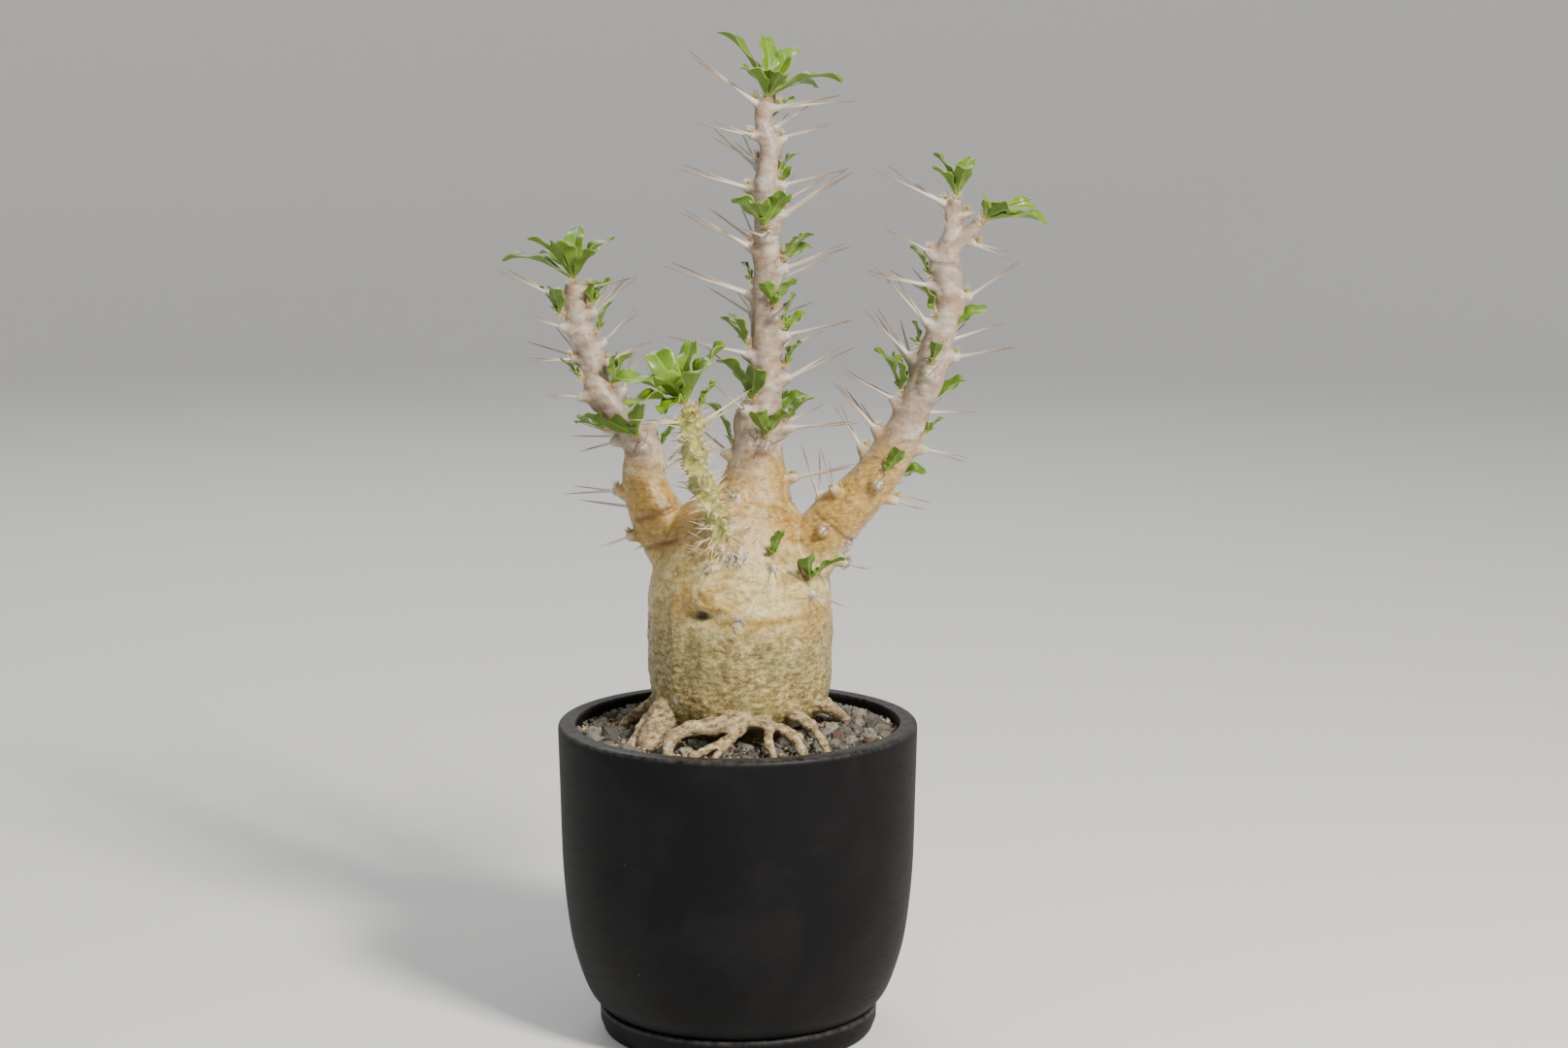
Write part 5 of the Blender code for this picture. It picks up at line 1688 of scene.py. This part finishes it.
def grain_recipe(finish):
    """Small grains over the top of the bed."""
    recipe = Recipe("grain_recipe", Apart=1.55 * MM, Density=420000.0, Smallest=0.6 * MM, Largest=1.75 * MM, Seed=SEED)
    seed = recipe.given("Seed")
    scatter = recipe.node("GeometryNodeDistributePointsOnFaces", {"distribute_method": "POISSON"}, {
        "Mesh": recipe.given(), "Distance Min": recipe.given("Apart"), "Density Max": recipe.given("Density"),
        "Seed": seed})
    size = recipe.random(recipe.given("Smallest"), recipe.given("Largest"), seed + 1)
    squash = recipe.vector(size, size * recipe.random(0.7, 1.0, seed + 2), size * recipe.random(0.55, 0.9, seed + 3))
    turn = recipe.random((0.0, 0.0, 0.0), (6.28, 6.28, 6.28), seed + 4, "FLOAT_VECTOR")
    turn = recipe.node("FunctionNodeEulerToRotation", inputs={0: turn})
    which = recipe.node("FunctionNodeRandomValue", {"data_type": "INT"}, {4: 0, 5: 3, "Seed": SEED}, 2)
    tint = recipe.random(0.0, 1.0, seed + 5)
    scatter = recipe.node("GeometryNodeStoreNamedAttribute", {"domain": "POINT"},
                          {"Geometry": scatter, "Name": "tint", "Value": tint})
    copies = recipe.node("GeometryNodeInstanceOnPoints", inputs={
        "Points": scatter, "Instance": pick_of_stones(recipe, 1), "Pick Instance": True, "Instance Index": which,
        "Rotation": turn, "Scale": squash})
    recipe.finish(copies, finish)
    return recipe


# %% Paint for the grit
def grit_paint():
    paint = Paint("soil_grit", Specular_IOR_Level=0.25)
    tint = paint.mark("tint")
    kind = paint.ramp(tint, (0.0, (0.060, 0.056, 0.047)), (0.22, (0.105, 0.097, 0.080)), (0.45, (0.165, 0.152, 0.125)),
                      (0.66, (0.25, 0.23, 0.19)), (0.80, (0.13, 0.066, 0.042)), (0.90, (0.34, 0.30, 0.215)),
                      (0.975, (0.58, 0.46, 0.22)))
    pits = paint.noise(1100, 4, 0.7)
    speck = paint.noise(2600, 2, 0.6)
    # Painted shade: the grit is darker where its bump is low, in its pits.
    colour = paint.mix(paint.mix((0.02, 0.016, 0.012), kind, 0.55), kind, paint.rise(pits, 0.36, 0.58))
    colour = paint.mix(colour, (0.55, 0.50, 0.42), paint.rise(speck, 0.60, 0.74) * 0.30)
    return paint.coat(Base_Color=colour, Roughness=0.86 + 0.12 * pits, Normal=paint.bump(pits, 0.35))


# %% The bed, its stones and its grains
def soil_bed():
    """The body of the soil, with a top that rises and falls a little."""
    low = SAUCER_FLOOR + SEAT + POT_FLOOR + SEAT
    lip = RIM_RADIUS - LIP_WIDTH - SEAT
    top = [(0, SOIL_HEIGHT)] + [(lip * i / 24, SOIL_HEIGHT) for i in range(1, 25)]
    outline = [(0, low), (41.7, low), (53.7, 20), (62.2, 36), (lip - 0.6, 70)] + top[::-1]
    bed = lathe("soil_bed", outline, 96, closed=False)
    spots = coordinates(bed.data)
    reach = np.linalg.norm(spots[:, :2], axis=1)
    raised = (spots[:, 2] > SOIL_HEIGHT - 0.01) & (reach < lip - 0.01)
    spots[:, 2] += np.where(raised, 0.7 * noise_at(spots, 9.0) + 0.3 * noise_at(spots, 3.0, 5.0) + 0.2, 0.0)
    bed.data.vertices.foreach_set("co", (spots * MM).ravel())
    keep_mark(bed.data, "tint", np.full(len(spots), 0.12))
    return bed


def grain_ground():
    """The ring of ground that the grains are strewn on."""
    rings = [(24 + 43.2 * i / 20, SOIL_HEIGHT + 0.7) for i in range(21)]
    return lathe("grains", rings, 72, closed=False)


def make_soil():
    finish = grit_paint()
    bed = soil_bed()
    bed.data.materials.append(finish)
    stones = stone_recipe(finish).cook(stone_cloud(), "stones")
    grains = grain_recipe(finish).cook(grain_ground(), "grains")
    for made in (bed, stones, grains):
        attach(made, "root")
        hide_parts("soil")
    return [len(made.data.polygons) for made in (bed, stones, grains)]


print("bed, stones and grains:", make_soil(), "faces")

# %% [markdown]
# ## The pot and its saucer
#
# The pot is a plain turned shape: a flat lip with a soft outer edge, a wall that is nearly upright, and a round turn
# at the bottom. A turned profile is all it needs, with enough points at the corners to catch a thin highlight. Its
# black is matt, so the finish is in the roughness: a very fine grain, a little dust on the lip, and a few dull rubs.
# The top of the lip is also lightened to grey in its colour, partly dust and partly a painted sheen.


# %% Profiles
def rounded(points, cuts=5):
    """The (radius, height) points with the ones that carry a third number turned into arcs of that size."""
    made = []
    for i, point in enumerate(points):
        if len(point) == 2:
            made.append(point)
            continue
        corner = Vector(point[:2])
        before = (Vector(points[i - 1][:2]) - corner).normalized()
        after = (Vector(points[(i + 1) % len(points)][:2]) - corner).normalized()
        start, end = corner + before * point[2], corner + after * point[2]
        for k in range(cuts + 1):
            share = k / cuts
            made.append(tuple(start * (1 - share) ** 2 + corner * 2 * share * (1 - share) + end * share ** 2))
    return made


def wall_line(points, cuts=5):
    """A smooth line through (radius, height) points."""
    return [(p.x, p.z) for p in smooth([(r, 0, z, 0) for r, z in points], cuts)]


def pot_profile():
    low = SAUCER_FLOOR + SEAT
    lip = RIM_RADIUS - LIP_WIDTH
    floor = low + POT_FLOOR
    outer = wall_line([(RIM_RADIUS - 0.02, RIM_HEIGHT - 3.4), (RIM_RADIUS - 0.6, 105), (RIM_RADIUS - 1.6, 70),
                       (70.7, 44), (67.4, 30), (63.1, 18.6), (58.4, 12.8), (52.6, 8.4), (48.0, 5.9)])
    foot = rounded([(48.0, 5.9), (FOOT_RADIUS, low, 1.0), (DRAIN_RADIUS, low, 0.8), (DRAIN_RADIUS, floor, 0.8),
                    (42, floor)])
    inner = wall_line([(42, floor), (49, 14.5), (54, 20), (62.5, 36), (lip - 2.0, 52), (lip - 0.6, 70),
                       (lip - 0.2, 110), (lip, RIM_HEIGHT - 1.2)])
    edge = rounded([(lip, RIM_HEIGHT - 1.2), (lip, RIM_HEIGHT, 0.7), (RIM_RADIUS, RIM_HEIGHT, 2.2),
                    (RIM_RADIUS, RIM_HEIGHT - 3.4)])
    return outer + foot[1:-1] + inner + edge[1:-1]


def saucer_profile():
    wall = SAUCER_RADIUS - SAUCER_WALL
    return [(0, SAUCER_FLOOR)] + rounded([
        (30, SAUCER_FLOOR), (wall, SAUCER_FLOOR, 1.6), (wall, SAUCER_HEIGHT, 0.8), (SAUCER_RADIUS, SAUCER_HEIGHT, 1.0),
        (SAUCER_RADIUS - 0.2, 5), (SAUCER_RADIUS - 2.0, 0, 1.6), (30, 0)]) + [(0, 0)]


# %% Paint for the pot
def black_paint(name, top_height):
    paint = Paint(name, Specular_IOR_Level=0.13)
    grain = paint.noise(2400, 3, 0.6)
    cloud = paint.noise(26, 4, 0.6, warp=0.4)
    rub = paint.noise(70, 5, 0.7, paint.stretched(1, 1, 7))
    speck = paint.rise(paint.cells(160), 0.09, 0.04) * paint.rise(paint.noise(31, 2), 0.60, 0.70)
    dust_and_sheen = paint.rise(paint.height(), top_height - 2.4 * MM, top_height - 0.2 * MM)
    colour = paint.mix((0.0036, 0.0036, 0.0040), (0.0070, 0.0070, 0.0074), paint.rise(cloud, 0.4, 0.65))
    # Dust and painted sheen: the top of the lip and of the rim is lightened to grey.
    colour = paint.mix(colour, (0.050, 0.049, 0.047), dust_and_sheen * paint.rise(paint.noise(300, 4, 0.7), 0.25, 0.7))
    colour = paint.mix(colour, (0.12, 0.11, 0.095), speck * 0.5)
    rough = 0.48 + 0.10 * cloud + 0.08 * paint.rise(rub, 0.5, 0.7) + 0.06 * grain - 0.14 * dust_and_sheen
    return paint.coat(Base_Color=colour, Roughness=rough, Normal=paint.bump(grain * 0.7 + rub * 0.3, 0.05))


# %% Turn the pot and the saucer
def make_vessel(name, profile, finish):
    made = lathe(name + "_fine", profile, 192)
    made.data.materials.append(finish)
    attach(made, "root")
    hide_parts(name)
    return len(made.data.polygons)


print("pot:", make_vessel("pot", pot_profile(), black_paint("pot_black", RIM_HEIGHT * MM)), "faces")
print("saucer:", make_vessel("saucer", saucer_profile(), black_paint("saucer_black", SAUCER_HEIGHT * MM)), "faces")

# %% [markdown]
# ## Sizes, and the end
#
# The fine plant must fill the same box as the plain one. Both boxes are printed side by side.


# %% The two boxes
def write_sizes():
    boxes = {"cad": [list(corner) for corner in CAD_BOX], "visual": [list(corner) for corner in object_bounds()]}
    return boxes


print(write_sizes())
